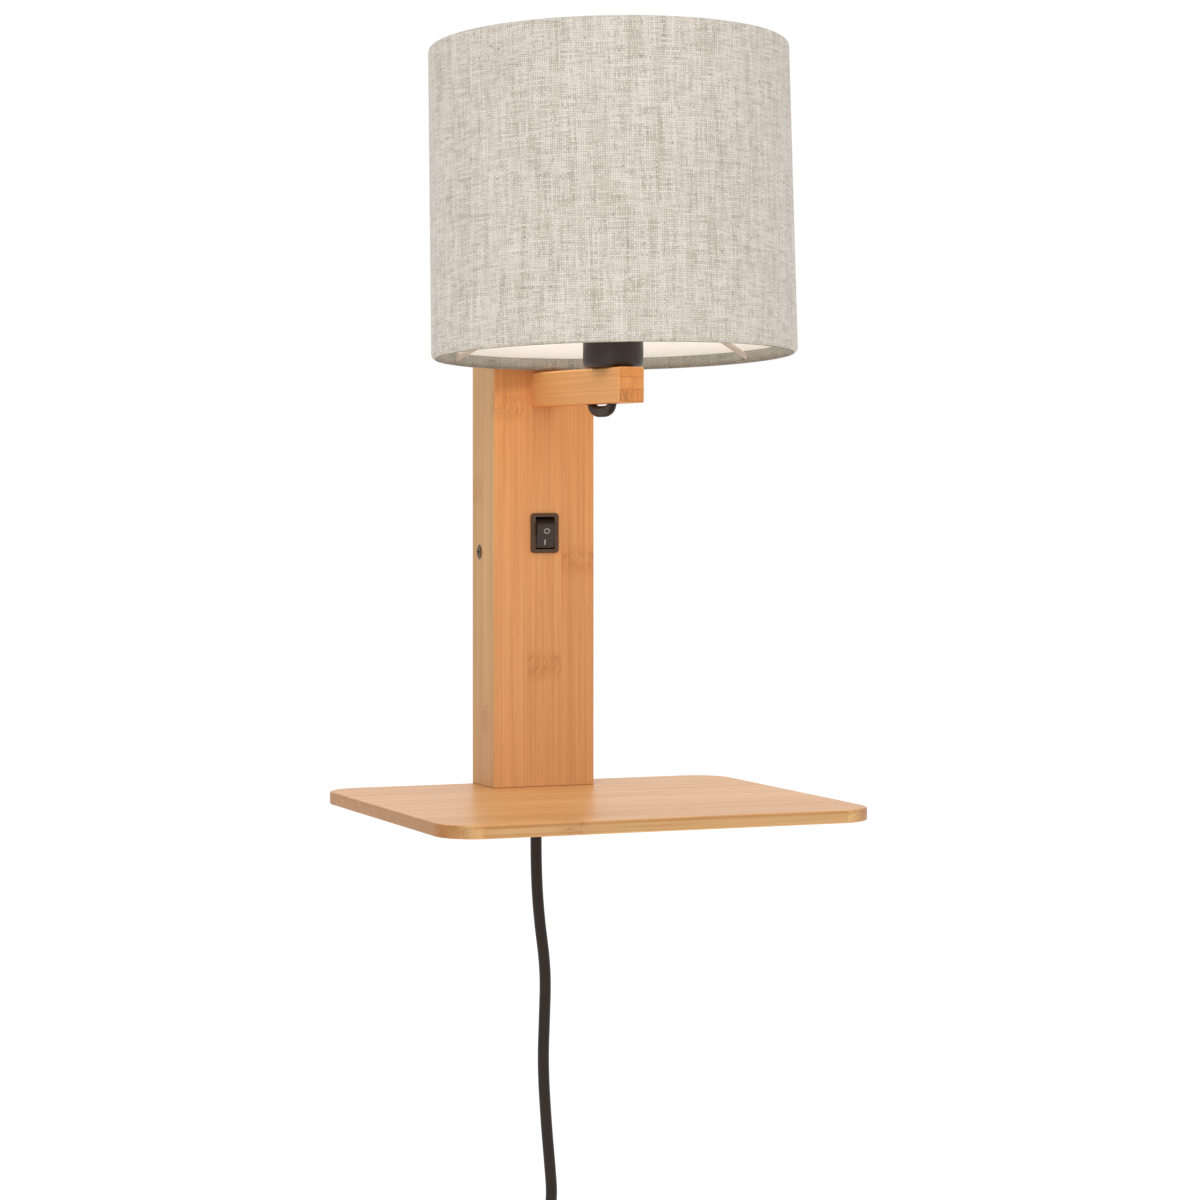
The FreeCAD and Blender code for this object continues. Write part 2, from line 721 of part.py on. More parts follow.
def holder_cap():
    outer = mm.holder_wide / 2
    hole = mm.nipple_wide / 2 + mm.fit_gap
    inner = outer - mm.cap_wall
    ledge = inner - SEAT_LEDGE
    corners = [(hole, 0), (outer - mm.cap_edge, 0), (outer, mm.cap_edge), (outer, mm.cap_tall),
               (inner, mm.cap_tall), (inner, mm.core_seat), (ledge, mm.core_seat),
               (ledge, mm.cap_floor), (hole, mm.cap_floor)]
    keep("holder_cap", turned("holder_cap", 0, HOLDER_Y, ARM_HIGH, corners))


def holder_core():
    outer = mm.holder_wide / 2 - mm.cap_wall - mm.fit_gap
    disc_top = mm.core_seat + mm.core_thick
    neck = mm.neck_wide / 2
    corners = [(CORE_PIN, mm.core_seat), (outer, mm.core_seat), (outer, disc_top), (neck, disc_top),
               (neck, NECK_TOP), (CORE_PIN, NECK_TOP)]
    keep("holder_core", turned("holder_core", 0, HOLDER_Y, ARM_HIGH, corners))


def holder_shell():
    inner = mm.neck_wide / 2 + THREAD_GAP + mm.fit_gap
    spigot = mm.holder_wide / 2 - mm.cap_wall - mm.fit_gap
    outer = mm.holder_wide / 2
    low = mm.core_seat + mm.core_thick
    flange = mm.shoulder_wide / 2
    thread = mm.thread_wide / 2
    under = mm.shoulder_rise - mm.shoulder_thick
    corners = [(inner, low), (spigot, low), (spigot, mm.cap_tall), (outer, mm.cap_tall), (outer, under),
               (flange, under), (flange, mm.shoulder_rise), (thread, mm.shoulder_rise),
               (thread, mm.shell_tall), (inner, mm.shell_tall)]
    keep("holder_shell", turned("holder_shell", 0, HOLDER_Y, ARM_HIGH, corners))


def holder_thread():
    outer = mm.neck_wide / 2 + THREAD_GAP
    inner = mm.bulb_cap_wide / 2 + mm.fit_gap
    top = NECK_TOP + mm.screw_shell
    corners = [(inner, NECK_TOP), (outer, NECK_TOP), (outer, top), (inner, top)]
    keep("holder_thread", turned("holder_thread", 0, HOLDER_Y, ARM_HIGH, corners))


def holder_contact():
    pin = CORE_PIN - mm.fit_gap
    corners = [(0, mm.core_seat), (pin, mm.core_seat), (pin, NECK_TOP), (CONTACT_REACH, NECK_TOP),
               (CONTACT_REACH, BULB_LOW), (0, BULB_LOW)]
    keep("holder_contact", turned("holder_contact", 0, HOLDER_Y, ARM_HIGH, corners))


def bulb_tip():
    corners = [(0, BULB_LOW), (TIP_LOW_REACH, BULB_LOW), (TIP_REACH, BULB_CAP_LOW), (0, BULB_CAP_LOW)]
    keep("bulb_tip", turned("bulb_tip", 0, HOLDER_Y, ARM_HIGH, corners))


def bulb_cap():
    outer = mm.bulb_cap_wide / 2
    inner = outer - CAP_SHEET
    floor = BULB_CAP_LOW + CAP_SHEET
    corners = [(0, BULB_CAP_LOW), (outer, BULB_CAP_LOW), (outer, BULB_CAP_TOP), (inner, BULB_CAP_TOP),
               (inner, floor), (0, floor)]
    keep("bulb_cap", turned("bulb_cap", 0, HOLDER_Y, ARM_HIGH, corners))


GLASS_FOOT = 5
GLASS_NECK = 1
GLOBE_START = math.radians(38)


def glass_edge(inset):
    """Half of the bulb's outline, from its neck to its top, drawn the inset inside the glass."""
    neck = float(mm.bulb_cap_wide / 2 - CAP_SHEET - mm.fit_gap) - inset
    foot = float(BULB_CAP_TOP) - GLASS_FOOT
    middle = float(BULB_CAP_TOP + mm.globe_rise)
    radius = float(mm.globe_wide) / 2 - inset
    low = Vector(neck, 0, foot)
    shoulder = Vector(neck, 0, float(BULB_CAP_TOP) + GLASS_NECK)
    start = Vector(radius * math.sin(GLOBE_START), 0, middle - radius * math.cos(GLOBE_START))
    side = Vector(radius, 0, middle)
    top = Vector(0, 0, middle + radius)
    edges = [Part.LineSegment(low, shoulder).toShape(), Part.LineSegment(shoulder, start).toShape(),
             Part.Arc(start, side, top).toShape()]
    return low, top, edges


def bulb_glass():
    outer_low, outer_top, outer = glass_edge(0)
    inner_low, inner_top, inner = glass_edge(float(mm.glass_thick))
    top = Part.LineSegment(outer_top, inner_top).toShape()
    foot = Part.LineSegment(inner_low, outer_low).toShape()
    section = Part.Face(Part.Wire(outer + [top] + inner[::-1] + [foot]))
    part = solid("bulb_glass", section.revolve(Vector(0, 0, 0), Vector(0, 0, 1), 360))
    part.Placement = FreeCAD.Placement(Vector(0, float(HOLDER_Y), float(ARM_HIGH)), FreeCAD.Rotation())


# ---------------------------------------------------------------- shade

LEAN = math.radians(float(mm.shade_lean))
TILT_RISE = float(mm.shoulder_wide) / 2 * math.sin(LEAN) + float(mm.fit_gap)
FITTER_Z = float(ARM_HIGH + mm.shoulder_rise) + TILT_RISE
SHADE_PLACE = FreeCAD.Placement(Vector(0, float(HOLDER_Y), FITTER_Z),
                                FreeCAD.Rotation(Vector(1, 0, 0), -float(mm.shade_lean)))


def shade_radius(height):
    """The shade's outer radius at a height above its bottom."""
    slope = (mm.shade_top_wide - mm.shade_wide) / 2 / mm.shade_tall
    return mm.shade_wide / 2 + slope * height


def skin(low, high, outer_gap, thickness):
    """Outline of a band of the shade's wall, the gap given inside its outer face."""
    below = low - mm.shade_drop
    above = high - mm.shade_drop
    outer_low = shade_radius(low) - outer_gap
    outer_high = shade_radius(high) - outer_gap
    return [(outer_low - thickness, below), (outer_low, below), (outer_high, above),
            (outer_high - thickness, above)]


def lean(part):
    """Tilts a piece of the shade about the middle of its fitter ring."""
    part.Placement = SHADE_PLACE
    return part


LINING_GAP = mm.linen_thick + mm.fit_gap
WIRE_GAP = LINING_GAP + mm.lining_thick + mm.fit_gap + mm.wire_wide / 2
HEM_GAP = WIRE_GAP + mm.wire_wide / 2 + mm.fit_gap
WIRE_RISE = mm.linen_thick + mm.fit_gap + mm.wire_wide / 2
SPOKES = 3
NOTCH_ROOM = 1


def spoke_angles():
    return [float(mm.first_spoke) + 360 / SPOKES * number for number in range(SPOKES)]


def shade_linen():
    """The linen skin, turned in over the ring wire at each end and notched for the spokes."""
    high = mm.shade_tall
    outer = [(shade_radius(0), -mm.shade_drop), (shade_radius(high), high - mm.shade_drop)]
    body = new_body("linen_skin", 0, 0, 0)
    top = high - mm.shade_drop
    low = -mm.shade_drop
    thick = mm.linen_thick
    low_hem = shade_radius(0) - HEM_GAP
    high_hem = shade_radius(high) - HEM_GAP
    corners = [outer[0], outer[1],
               (high_hem - thick, top), (high_hem - thick, top - mm.hem_tall),
               (high_hem, top - mm.hem_tall), (high_hem, top - thick),
               (shade_radius(high) - thick, top - thick), (shade_radius(0) - thick, low + thick),
               (low_hem, low + thick), (low_hem, low + mm.hem_tall),
               (low_hem - thick, low + mm.hem_tall), (low_hem - thick, low)]
    spin(body, outline(body, "XZ_Plane", corners))
    notches = []
    wide = mm.wire_wide + 2 * NOTCH_ROOM
    start = Vector(float(low_hem - thick) - NOTCH_ROOM, -float(wide) / 2, float(low + thick))
    for angle in spoke_angles():
        notch = doc.addObject("Part::Box", "notch")
        bind(notch, "Length", mm.linen_thick + 2 * NOTCH_ROOM)
        bind(notch, "Width", wide)
        bind(notch, "Height", mm.hem_tall)
        turn = FreeCAD.Rotation(Vector(0, 0, 1), angle)
        notch.Placement = FreeCAD.Placement(turn.multVec(start), turn)
        notches.append(notch)
    keep("shade_linen", lean(cut(body, *notches)))


def shade_lining():
    body = new_body("lining_skin", 0, 0, 0)
    low = mm.linen_thick + mm.fit_gap
    corners = skin(low, mm.shade_tall - low, LINING_GAP, mm.lining_thick)
    spin(body, outline(body, "XZ_Plane", corners))
    keep("shade_lining", lean(group(body)))


def shade_top_ring():
    high = mm.shade_tall - WIRE_RISE
    middle = 2 * (shade_radius(high) - WIRE_GAP)
    wire = ring(middle, mm.wire_wide, (0, 0, high - mm.shade_drop))
    keep("shade_top_ring", lean(group(wire)))


SPOKE_OVERLAP = 1


def shade_spider():
    """Bottom ring, three spokes and the fitter ring, welded into one frame."""
    middle = float(shade_radius(WIRE_RISE) - WIRE_GAP)
    low = float(WIRE_RISE - mm.shade_drop)
    bottom = ring(2 * (shade_radius(WIRE_RISE) - WIRE_GAP), mm.wire_wide,
                  (0, 0, WIRE_RISE - mm.shade_drop))
    disc = rod(mm.fitter_wide, mm.fitter_thick, (0, 0, 0))
    hole = rod(mm.thread_wide + 2 * mm.open_gap, mm.fitter_thick, (0, 0, 0))
    fitter = cut(disc, hole)
    hub = float(mm.fitter_wide / 2 - SPOKE_OVERLAP)
    spokes = []
    for angle in spoke_angles():
        facing = FreeCAD.Rotation(Vector(0, 0, 1), angle)
        start = facing.multVec(Vector(hub, 0, 0))
        end = facing.multVec(Vector(middle, 0, low))
        spoke = doc.addObject("Part::Cylinder", "spoke")
        bind(spoke, "Radius", mm.wire_wide / 2)
        spoke.Height = (end - start).Length
        spoke.Placement = FreeCAD.Placement(start, FreeCAD.Rotation(Vector(0, 0, 1), end - start))
        spokes.append(spoke)
    above = rod(mm.fitter_wide + 2 * SPOKE_OVERLAP, mm.wire_wide, (0, 0, mm.fitter_thick))
    keep("shade_spider", lean(fuse(bottom, fitter, cut(fuse(*spokes), above))))


def shade_ring():
    """Threaded ring over the fitter, left loose enough for the shade to lean."""
    low = FITTER_Z + float(mm.fitter_thick) + TILT_RISE + 2 * float(mm.fit_gap) - float(ARM_HIGH)
    inner = mm.thread_wide / 2 + mm.fit_gap
    outer = inner + mm.ring_wall
    flange = outer + mm.ring_flange
    high = low + mm.ring_tall
    corners = [(inner, low), (flange, low), (flange, low + mm.ring_flange), (outer, low + mm.ring_flange),
               (outer, high), (inner, high)]
    keep("shade_ring", turned("shade_ring", 0, HOLDER_Y, ARM_HIGH, corners))


# ---------------------------------------------------------------- switch

BEZEL_CORNER = 1.8
BEZEL_EDGE = 0.6
ROCKER_STEP = 0.6
ROCKER_SHOULDER = 2
ROCKER_EDGE = 0.4
PLUNGER_WIDE = 2.3
PLUNGER_DEEP = 2.9
WELL_ROOM = 0.1
BRIDGE_THICK = 0.6
BRIDGE_WIDE = 3
BRIDGE_STAND = 1.4
PLUNGER_GAP = 0.35
CASE_FLOOR = CASE_BACK - mm.case_floor
BRIDGE_FRONT = CASE_FLOOR - BRIDGE_STAND - BRIDGE_THICK
PLUNGER_TIP = BRIDGE_FRONT - PIVOT_Y - PLUNGER_GAP
TAB_END = CASE_BACK + mm.tab_out
ROCKER_PLACE = FreeCAD.Placement(Vector(0, float(PIVOT_Y), float(SWITCH_Z)),
                                 FreeCAD.Rotation(Vector(1, 0, 0), float(mm.rocker_throw)))


def switch_housing():
    body = new_body("switch_case", 0, CASE_BACK, SWITCH_Z)
    case = outline(body, "XZ_Plane", rectangle(mm.case_wide, mm.case_tall))
    pad(body, case, mm.case_deep)
    face = new_body("switch_face", 0, FRONT, SWITCH_Z)
    bezel = pad(face, outline(face, "XZ_Plane", rectangle(mm.bezel_wide, mm.bezel_tall)), mm.bezel_thick)
    side = float(mm.bezel_wide) / 2
    end = float(mm.bezel_tall) / 2

    def corner_edge(point):
        return near(abs(point.x), side) and near(abs(point.z), end)

    rounded = round_edges(face, bezel, BEZEL_CORNER, corner_edge)
    round_edges(face, rounded, BEZEL_EDGE, lambda point: near(point.y, -mm.bezel_thick))
    hollow = box((-mm.window_wide / 2, FRONT - mm.bezel_thick, SWITCH_Z - mm.window_tall / 2),
                 (mm.window_wide, CASE_FLOOR - FRONT + mm.bezel_thick, mm.window_tall))
    pivots = rod(mm.pivot_wide + 2 * mm.pivot_gap, mm.case_wide,
                 (-mm.case_wide / 2, PIVOT_Y, SWITCH_Z), "+X")
    slots = []
    wide = mm.tab_wide + 2 * mm.fit_gap
    tall = mm.tab_thick + 2 * mm.fit_gap
    for level in (-1, 1):
        low_z = SWITCH_Z + level * mm.tab_apart / 2 - tall / 2
        slots.append(box((-wide / 2, CASE_FLOOR, low_z), (wide, mm.case_floor, tall)))
    keep("switch_housing", cut(fuse(body, face), hollow, pivots, *slots))


def switch_rocker():
    """Drawn with its face upright, then set at the end of its throw, lower end pressed."""
    width = mm.window_wide - 2 * mm.rocker_gap
    waist = mm.window_tall / 2 - ROCKER_STEP
    face = mm.rocker_face / 2
    shoulder = -ROCKER_SHOULDER
    body = new_body("rocker_blank", 0, 0, 0)
    corners = [(-mm.rocker_rise, face), (shoulder, waist), (mm.rocker_root, waist),
               (mm.rocker_root, -waist), (shoulder, -waist), (-mm.rocker_rise, -face)]
    block = pad(body, outline(body, "YZ_Plane", corners), width)
    round_edges(body, block, ROCKER_EDGE, lambda point: near(point.y, -mm.rocker_rise))
    place(body, -width / 2, 0, 0)
    stud_long = mm.case_wide - 2 * mm.rocker_gap
    studs = rod(mm.pivot_wide, stud_long, (-stud_long / 2, 0, 0), "+X")
    well = rod(PLUNGER_WIDE + WELL_ROOM, PLUNGER_DEEP + WELL_ROOM, (0, mm.rocker_root, 0), "-Y")
    rocker = cut(fuse(body, studs), well)
    rocker.Placement = ROCKER_PLACE
    keep("switch_rocker", rocker)


def switch_plunger():
    """Sprung pin under the rocker that works the contact bridge."""
    pin = rod(PLUNGER_WIDE, PLUNGER_DEEP, (0, mm.rocker_root, 0), "-Y")
    foot = rod(PLUNGER_WIDE, PLUNGER_TIP - mm.rocker_root, (0, mm.rocker_root, 0), "+Y")
    plunger = fuse(pin, foot)
    plunger.Placement = ROCKER_PLACE
    keep("switch_plunger", plunger)


def switch_bridge():
    long = mm.tab_apart + 3 * mm.tab_thick
    low = (-BRIDGE_WIDE / 2, BRIDGE_FRONT, SWITCH_Z - long / 2)
    keep("switch_bridge", box(low, (BRIDGE_WIDE, BRIDGE_THICK, long)))


def switch_tabs():
    pair = []
    for side in (-1, 1):
        low_z = SWITCH_Z + side * mm.tab_apart / 2 - mm.tab_thick / 2
        start = BRIDGE_FRONT + BRIDGE_THICK
        pair.append(box((-mm.tab_wide / 2, start, low_z), (mm.tab_wide, TAB_END - start, mm.tab_thick)))
    keep("switch_tabs", group(*pair))


# ---------------------------------------------------------------- connections inside the post

POLE_ROOM = 1.4
TERMINAL_SCREW = 2.5
SCREW_SUNK = 0.6


def terminal_block():
    low = (-mm.connector_wide / 2, BOARD_BACK, CONNECTOR_LOW)
    block = box(low, (mm.connector_wide, mm.connector_deep, mm.connector_tall))
    tools = [rod(mm.small_screw + 2 * mm.fit_gap, mm.connector_deep,
                 (0, CONNECTOR_BACK, CONNECTOR_MIDDLE), "-Y")]
    for side in (-1, 1):
        x = side * mm.pole_apart / 2
        tools.append(rod(mm.lead_wide + POLE_ROOM, mm.connector_tall, (x, CORD_Y, CONNECTOR_LOW)))
        for level in (-1, 1):
            at = (x, CONNECTOR_BACK, CONNECTOR_MIDDLE + level * mm.clamping_apart / 2)
            tools.append(rod(TERMINAL_SCREW + 2 * mm.fit_gap, CONNECTOR_BACK - CORD_Y, at, "-Y"))
    keep("terminal_block", cut(block, *tools))


def terminal_screws():
    screws = []
    start = CORD_Y + mm.lead_wide / 2
    length = CONNECTOR_BACK - SCREW_SUNK - start
    for side in (-1, 1):
        for level in (-1, 1):
            at = (side * mm.pole_apart / 2, start, CONNECTOR_MIDDLE + level * mm.clamping_apart / 2)
            screws.append(rod(TERMINAL_SCREW, length, at, "+Y"))
    keep("terminal_screws", group(*screws))


FIXING_HEAD = 1.65


def terminal_fixing():
    at = (0, CONNECTOR_BACK, CONNECTOR_MIDDLE)
    length = mm.connector_deep + FIXING_BITE
    keep("terminal_fixing", pan_head(FIXING_HEAD * mm.small_screw, mm.small_screw, length, at, "+Y"))


def cord_clamp():
    low = (-mm.clamp_wide / 2, CORD_Y - mm.clamp_deep / 2, BASE_TOP)
    block = box(low, (mm.clamp_wide, mm.clamp_deep, mm.clamp_tall))
    tools = [rod(mm.cord_wide + 2 * mm.fit_gap, mm.clamp_tall, (0, CORD_Y, BASE_TOP))]
    for side in (-1, 1):
        at = (side * CLAMP_SCREW_X, CORD_Y, BASE_TOP)
        tools.append(rod(mm.small_screw + 2 * mm.fit_gap, mm.clamp_tall, at))
    keep("cord_clamp", cut(block, *tools))


CLAMP_HEAD = 1.85


def clamp_screws():
    pair = []
    for side in (-1, 1):
        at = (side * CLAMP_SCREW_X, CORD_Y, CLAMP_TOP)
        length = mm.clamp_tall + CLAMP_SCREW_BITE
        pair.append(pan_head(CLAMP_HEAD * mm.small_screw, mm.small_screw, length, at, "+Z"))
    keep("clamp_screws", group(*pair))


RELIEF_STEP = 0.6
RELIEF_LIP = 0.8


def cord_gland():
    bore = mm.cord_wide / 2 + mm.fit_gap
    barrel = mm.gland_wide / 2
    flange = mm.gland_flange / 2
    low = -mm.flange_thick
    corners = [(bore, mm.shelf_thick), (barrel, mm.shelf_thick), (barrel, 0), (flange, 0), (flange, low),
               (barrel - RELIEF_STEP, low), (bore + RELIEF_LIP, low - mm.relief_long),
               (bore, low - mm.relief_long)]
    keep("cord_gland", turned("cord_gland", 0, CORD_Y, SHELF_LOW, corners))


# ---------------------------------------------------------------- cord, flex and wires

def route(points, bends=None):
    """Straight runs joined by tangent arcs; bends gives the radii, or they are as large as fits."""
    edges = []
    radii = []
    last = points[0]
    for number in range(1, len(points) - 1):
        corner = points[number]
        back = points[number - 1] - corner
        onward = points[number + 1] - corner
        turn = math.pi - back.getAngle(onward)
        half = math.tan(turn / 2)
        if bends:
            reach = bends[number - 1] * half
        else:
            reach = 0.45 * min(back.Length, onward.Length)
        radius = reach / half
        radii.append(round(radius, 1))
        back.normalize()
        onward.normalize()
        start = corner + back * reach
        end = corner + onward * reach
        inward = (back + onward).normalize()
        middle = corner + inward * (math.hypot(radius, reach) - radius)
        if (start - last).Length > 1e-4:
            edges.append(Part.LineSegment(last, start).toShape())
        edges.append(Part.Arc(start, middle, end).toShape())
        last = end
    edges.append(Part.LineSegment(last, points[-1]).toShape())
    return Part.Wire(edges), radii


def sweep(name, points, section_of, area, bends=None):
    """A solid swept along the route, with its volume set against section times length."""
    path, radii = route(points, bends)
    way = (points[1] - points[0]).normalize()
    shape = path.makePipeShell([section_of(points[0], way)], True, False)
    share = shape.Volume / (area * path.Length)
    print(f"{name}: length {path.Length:.1f}, volume share {share:.4f}, radii {radii}")
    return solid(name, shape)


def round_tube(name, points, diameter):
    radius = float(diameter) / 2

    def section(start, way):
        return Part.Wire([Part.Circle(start, way, radius).toShape()])

    return sweep(name, points, section, math.pi * radius ** 2)


def flat_flex(name, points, wide, thick, bends):
    """A flat cable with round edges, its width along X."""
    half = (wide - thick) / 2
    radius = thick / 2

    def section(start, way):
        across = Vector(1, 0, 0)
        up = way.cross(across)
        right_high = start + across * half + up * radius
        right_low = start + across * half - up * radius
        left_low = start - across * half - up * radius
        left_high = start - across * half + up * radius
        right_end = start + across * (half + radius)
        left_end = start - across * (half + radius)
        return Part.Wire([Part.Arc(right_high, right_end, right_low).toShape(),
                          Part.LineSegment(right_low, left_low).toShape(),
                          Part.Arc(left_low, left_end, left_high).toShape(),
                          Part.LineSegment(left_high, right_high).toShape()])

    area = math.pi * radius ** 2 + 2 * half * thick
    return sweep(name, points, section, area, bends)


FLEX_OFF_PLATE = 1.6
FLEX_END_GAP = 1
FLEX_TOP_BEND = 5.5
FLEX_BACK = -(mm.steel_thick + mm.flex_thick / 2 + FLEX_OFF_PLATE)


def lamp_flex():
    """Flat flex from the post through the arm, out in a loop below it and up into the holder."""
    back = float(FLEX_BACK)
    bore = float(BORE_Z)
    slot = float(SLOT_Y)
    loop = float(ARM_LOW - mm.loop_drop)
    axis = float(HOLDER_Y)
    end = float(ARM_HIGH + mm.core_seat) - FLEX_END_GAP
    corners = [(back, float(FLEX_LOW)), (back, bore), (slot, bore), (slot, loop), (axis, loop), (axis, end)]
    points = [Vector(0, y, z) for y, z in corners]
    down = float(mm.bore_rise)
    under = float(mm.loop_drop)
    bends = [FLEX_TOP_BEND, down, under, under]
    flat_flex("lamp_flex", points, float(mm.flex_wide), float(mm.flex_thick), bends)


# Where each single wire runs: x, then the share of the way from the flex's or clamp's side to the
# block's or switch's side in depth, and the share of the way along its own height.
CORE_APART = 2.8
WIRE_ROOM = 5.5
WIRE_END_SHIFT = 0.1


def wire_points(start, end, middles):
    """Points from start to end; each middle gives x and two shares, of the way in y and in z."""
    span_y = end.y - start.y
    span_z = end.z - start.z
    inner = [Vector(x, start.y + deep * span_y, start.z + far * span_z) for x, deep, far in middles]
    return [start] + inner + [end]


def inner_wires():
    """The single wires inside the post, each along points chosen to clear the parts round it."""
    middle = float(CORD_Y)
    pole = float(mm.pole_apart) / 2
    core = CORE_APART / 2
    tab = float(mm.tab_apart + mm.tab_thick) / 2
    switch = float(SWITCH_Z)
    tab_y = float(TAB_END - mm.lead_wide)
    block_low = float(CONNECTOR_LOW + mm.connector_tall * 0.375)
    block_top = float(CONNECTOR_TOP - mm.connector_tall * 0.375)
    flex_end = float(FLEX_LOW)
    flex_y = float(FLEX_BACK)
    for name, side in (("wire_mains_live", -1), ("wire_mains_neutral", 1)):
        start = Vector(side * core, middle, float(CORD_TOP))
        end = Vector(side * pole, middle, block_low)
        turns = [(side * core, 0, 0.18), (side * (pole - WIRE_END_SHIFT), 0, 0.64)]
        round_tube(name, wire_points(start, end, turns), mm.lead_wide)
    start = Vector(-pole, middle, block_top)
    end = Vector(0, tab_y, switch - tab)
    turns = [(-pole, 0.05, 0.25), (-pole / 2, 0.5, 0.53), (-WIRE_END_SHIFT, 1, 0.77)]
    round_tube("wire_switch_feed", wire_points(start, end, turns), mm.lead_wide)
    start = Vector(-core, flex_y, flex_end)
    end = Vector(0, tab_y, switch + tab)
    turns = [(-core, 0, 0.19), (-core / 3, 0.5, 0.47), (-WIRE_END_SHIFT, 1, 0.74)]
    round_tube("wire_lamp_live", wire_points(start, end, turns), mm.lead_wide)
    beside = float(mm.case_wide) / 2 + WIRE_ROOM
    start = Vector(core, flex_y, flex_end)
    end = Vector(pole, middle, block_top)
    turns = [(core, 0, 0.07), (beside - 4, 0.2, 0.175), (beside, 0.53, 0.325), (beside + 0.2, 0.6, 0.53),
             (beside - 1, 0.8, 0.7), (pole + 1, 0.967, 0.84)]
    round_tube("wire_lamp_neutral", wire_points(start, end, turns), mm.lead_wide)


def cord_inner():
    """The cord's own stretch inside the lamp, from its cut end down to the gland's mouth."""
    low = GLAND_LOW
    keep("cord_inner", rod(mm.cord_wide, CORD_TOP - low, (0, CORD_Y, low)))


# The free cord hangs in front of the wall: points across, out from the wall and below the gland.
CORD_ROUTE = [(0, 0, 0), (0, 0, -18), (1.3, 0.7, -43), (4.9, 1.6, -71), (4.3, 1.2, -96),
              (3.5, 0.8, -121), (5.4, 0.9, -154), (7.7, 1.4, -186), (8.6, 2, -212)]


def cord_point(place_on_route):
    across, out, down = place_on_route
    return Vector(across, float(CORD_Y) - out, float(GLAND_LOW) + down)


CORD_SINK = 2


def coil_middle():
    top = cord_point(CORD_ROUTE[-1])
    radius = float(mm.coil_wide + mm.bundle_wide) / 2
    return Vector(top.x, top.y, top.z + CORD_SINK - radius)


def mains_cord():
    round_tube("mains_cord", [cord_point(place_on_route) for place_on_route in CORD_ROUTE], mm.cord_wide)


def cord_coil():
    """Outer shape of the tied coil that holds the rest of the cord."""
    middle = coil_middle()
    coil = ring(mm.coil_wide, mm.bundle_wide, (middle.x, middle.y, middle.z), "-Y")
    keep("cord_coil", group(coil))


TIE_THICK = 1.6


def cord_tie():
    middle = coil_middle()
    at = (middle.x + mm.coil_wide / 2, middle.y, middle.z)
    keep("cord_tie", group(ring(mm.bundle_wide + 2 * mm.fit_gap + TIE_THICK, TIE_THICK, at)))


PLUG_ACROSS = 2
PLUG_OUT = 1
PLUG_SHOULDER = 0.62
PLUG_NECK = 5.5
PLUG_EDGE = 2.5
TAPER_WIDE = 10.5
TAPER_LIP = 0.7


def coil_low():
    return coil_middle().z - float(mm.coil_wide + mm.bundle_wide) / 2


def plug_top():
    """The mouth of the plug's taper, under the coil."""
    middle = coil_middle()
    return Vector(middle.x + PLUG_ACROSS, middle.y - PLUG_OUT, coil_low() - float(mm.cord_rest))


def cord_end():
    start = coil_middle()
    start.z = coil_low() + CORD_SINK
    end = plug_top()
    run = (start.z - end.z) / 3
    bow = Vector(start.x + 0.4, start.y - 0.2, start.z - run)
    points = [start, bow, Vector(end.x, end.y, end.z + run), end]
    round_tube("cord_end", points, mm.cord_wide)


def plug_body():
    top = plug_top()
    end = top.z - mm.plug_taper
    low = end - mm.plug_long
    body = new_body("plug_blank", top.x, top.y + mm.plug_thick / 2, low)
    wide = mm.plug_wide / 2
    shoulder = PLUG_SHOULDER * mm.plug_long
    corners = [(-wide, 0), (wide, 0), (wide, shoulder), (PLUG_NECK, mm.plug_long),
               (-PLUG_NECK, mm.plug_long), (-wide, shoulder)]
    block = pad(body, outline(body, "XZ_Plane", corners), mm.plug_thick)

    def flat_edge(point):
        return near(point.y, 0) or near(point.y, -mm.plug_thick)

    round_edges(body, block, PLUG_EDGE, flat_edge)
    taper = cone(TAPER_WIDE, mm.cord_wide + 2 * TAPER_LIP, mm.plug_taper, (top.x, top.y, end))
    keep("plug_body", fuse(body, taper))


def plug_pins():
    top = plug_top()
    low = top.z - mm.plug_taper - mm.plug_long
    pins = []
    for side in (-1, 1):
        x = top.x + side * mm.pin_apart / 2
        straight = mm.pin_long - mm.pin_wide / 2
        shank = rod(mm.pin_wide, straight, (x, top.y, low), "-Z")
        tip = doc.addObject("Part::Sphere", "tip")
        bind(tip, "Radius", mm.pin_wide / 2)
        place(tip, x, top.y, low - straight)
        pins.append(fuse(shank, tip))
    keep("plug_pins", group(*pins))


# ---------------------------------------------------------------- the lamp

def build():
    post_front_board()
    post_side("post_side_left", -1)
    post_side("post_side_right", 1)
    post_cap()
    base_block()
    shelf()
    shelf_screws()
    wall_bracket()
    bracket_nuts()
    side_screws()
    arm()
    arm_block()
    arm_screw()
    nipple()
    nipple_nut()
    holder_cap()
    holder_core()
    holder_shell()
    holder_thread()
    holder_contact()
    bulb_tip()
    bulb_cap()
    bulb_glass()
    shade_linen()
    shade_lining()
    shade_top_ring()
    shade_spider()
    shade_ring()
    switch_housing()
    switch_rocker()
    switch_plunger()
    switch_bridge()
    switch_tabs()
    terminal_block()
    terminal_screws()
    terminal_fixing()
    cord_clamp()
    clamp_screws()
    cord_gland()
    cord_inner()
    lamp_flex()
    inner_wires()
    mains_cord()
    cord_coil()
    cord_tie()
    cord_end()
    plug_body()
    plug_pins()


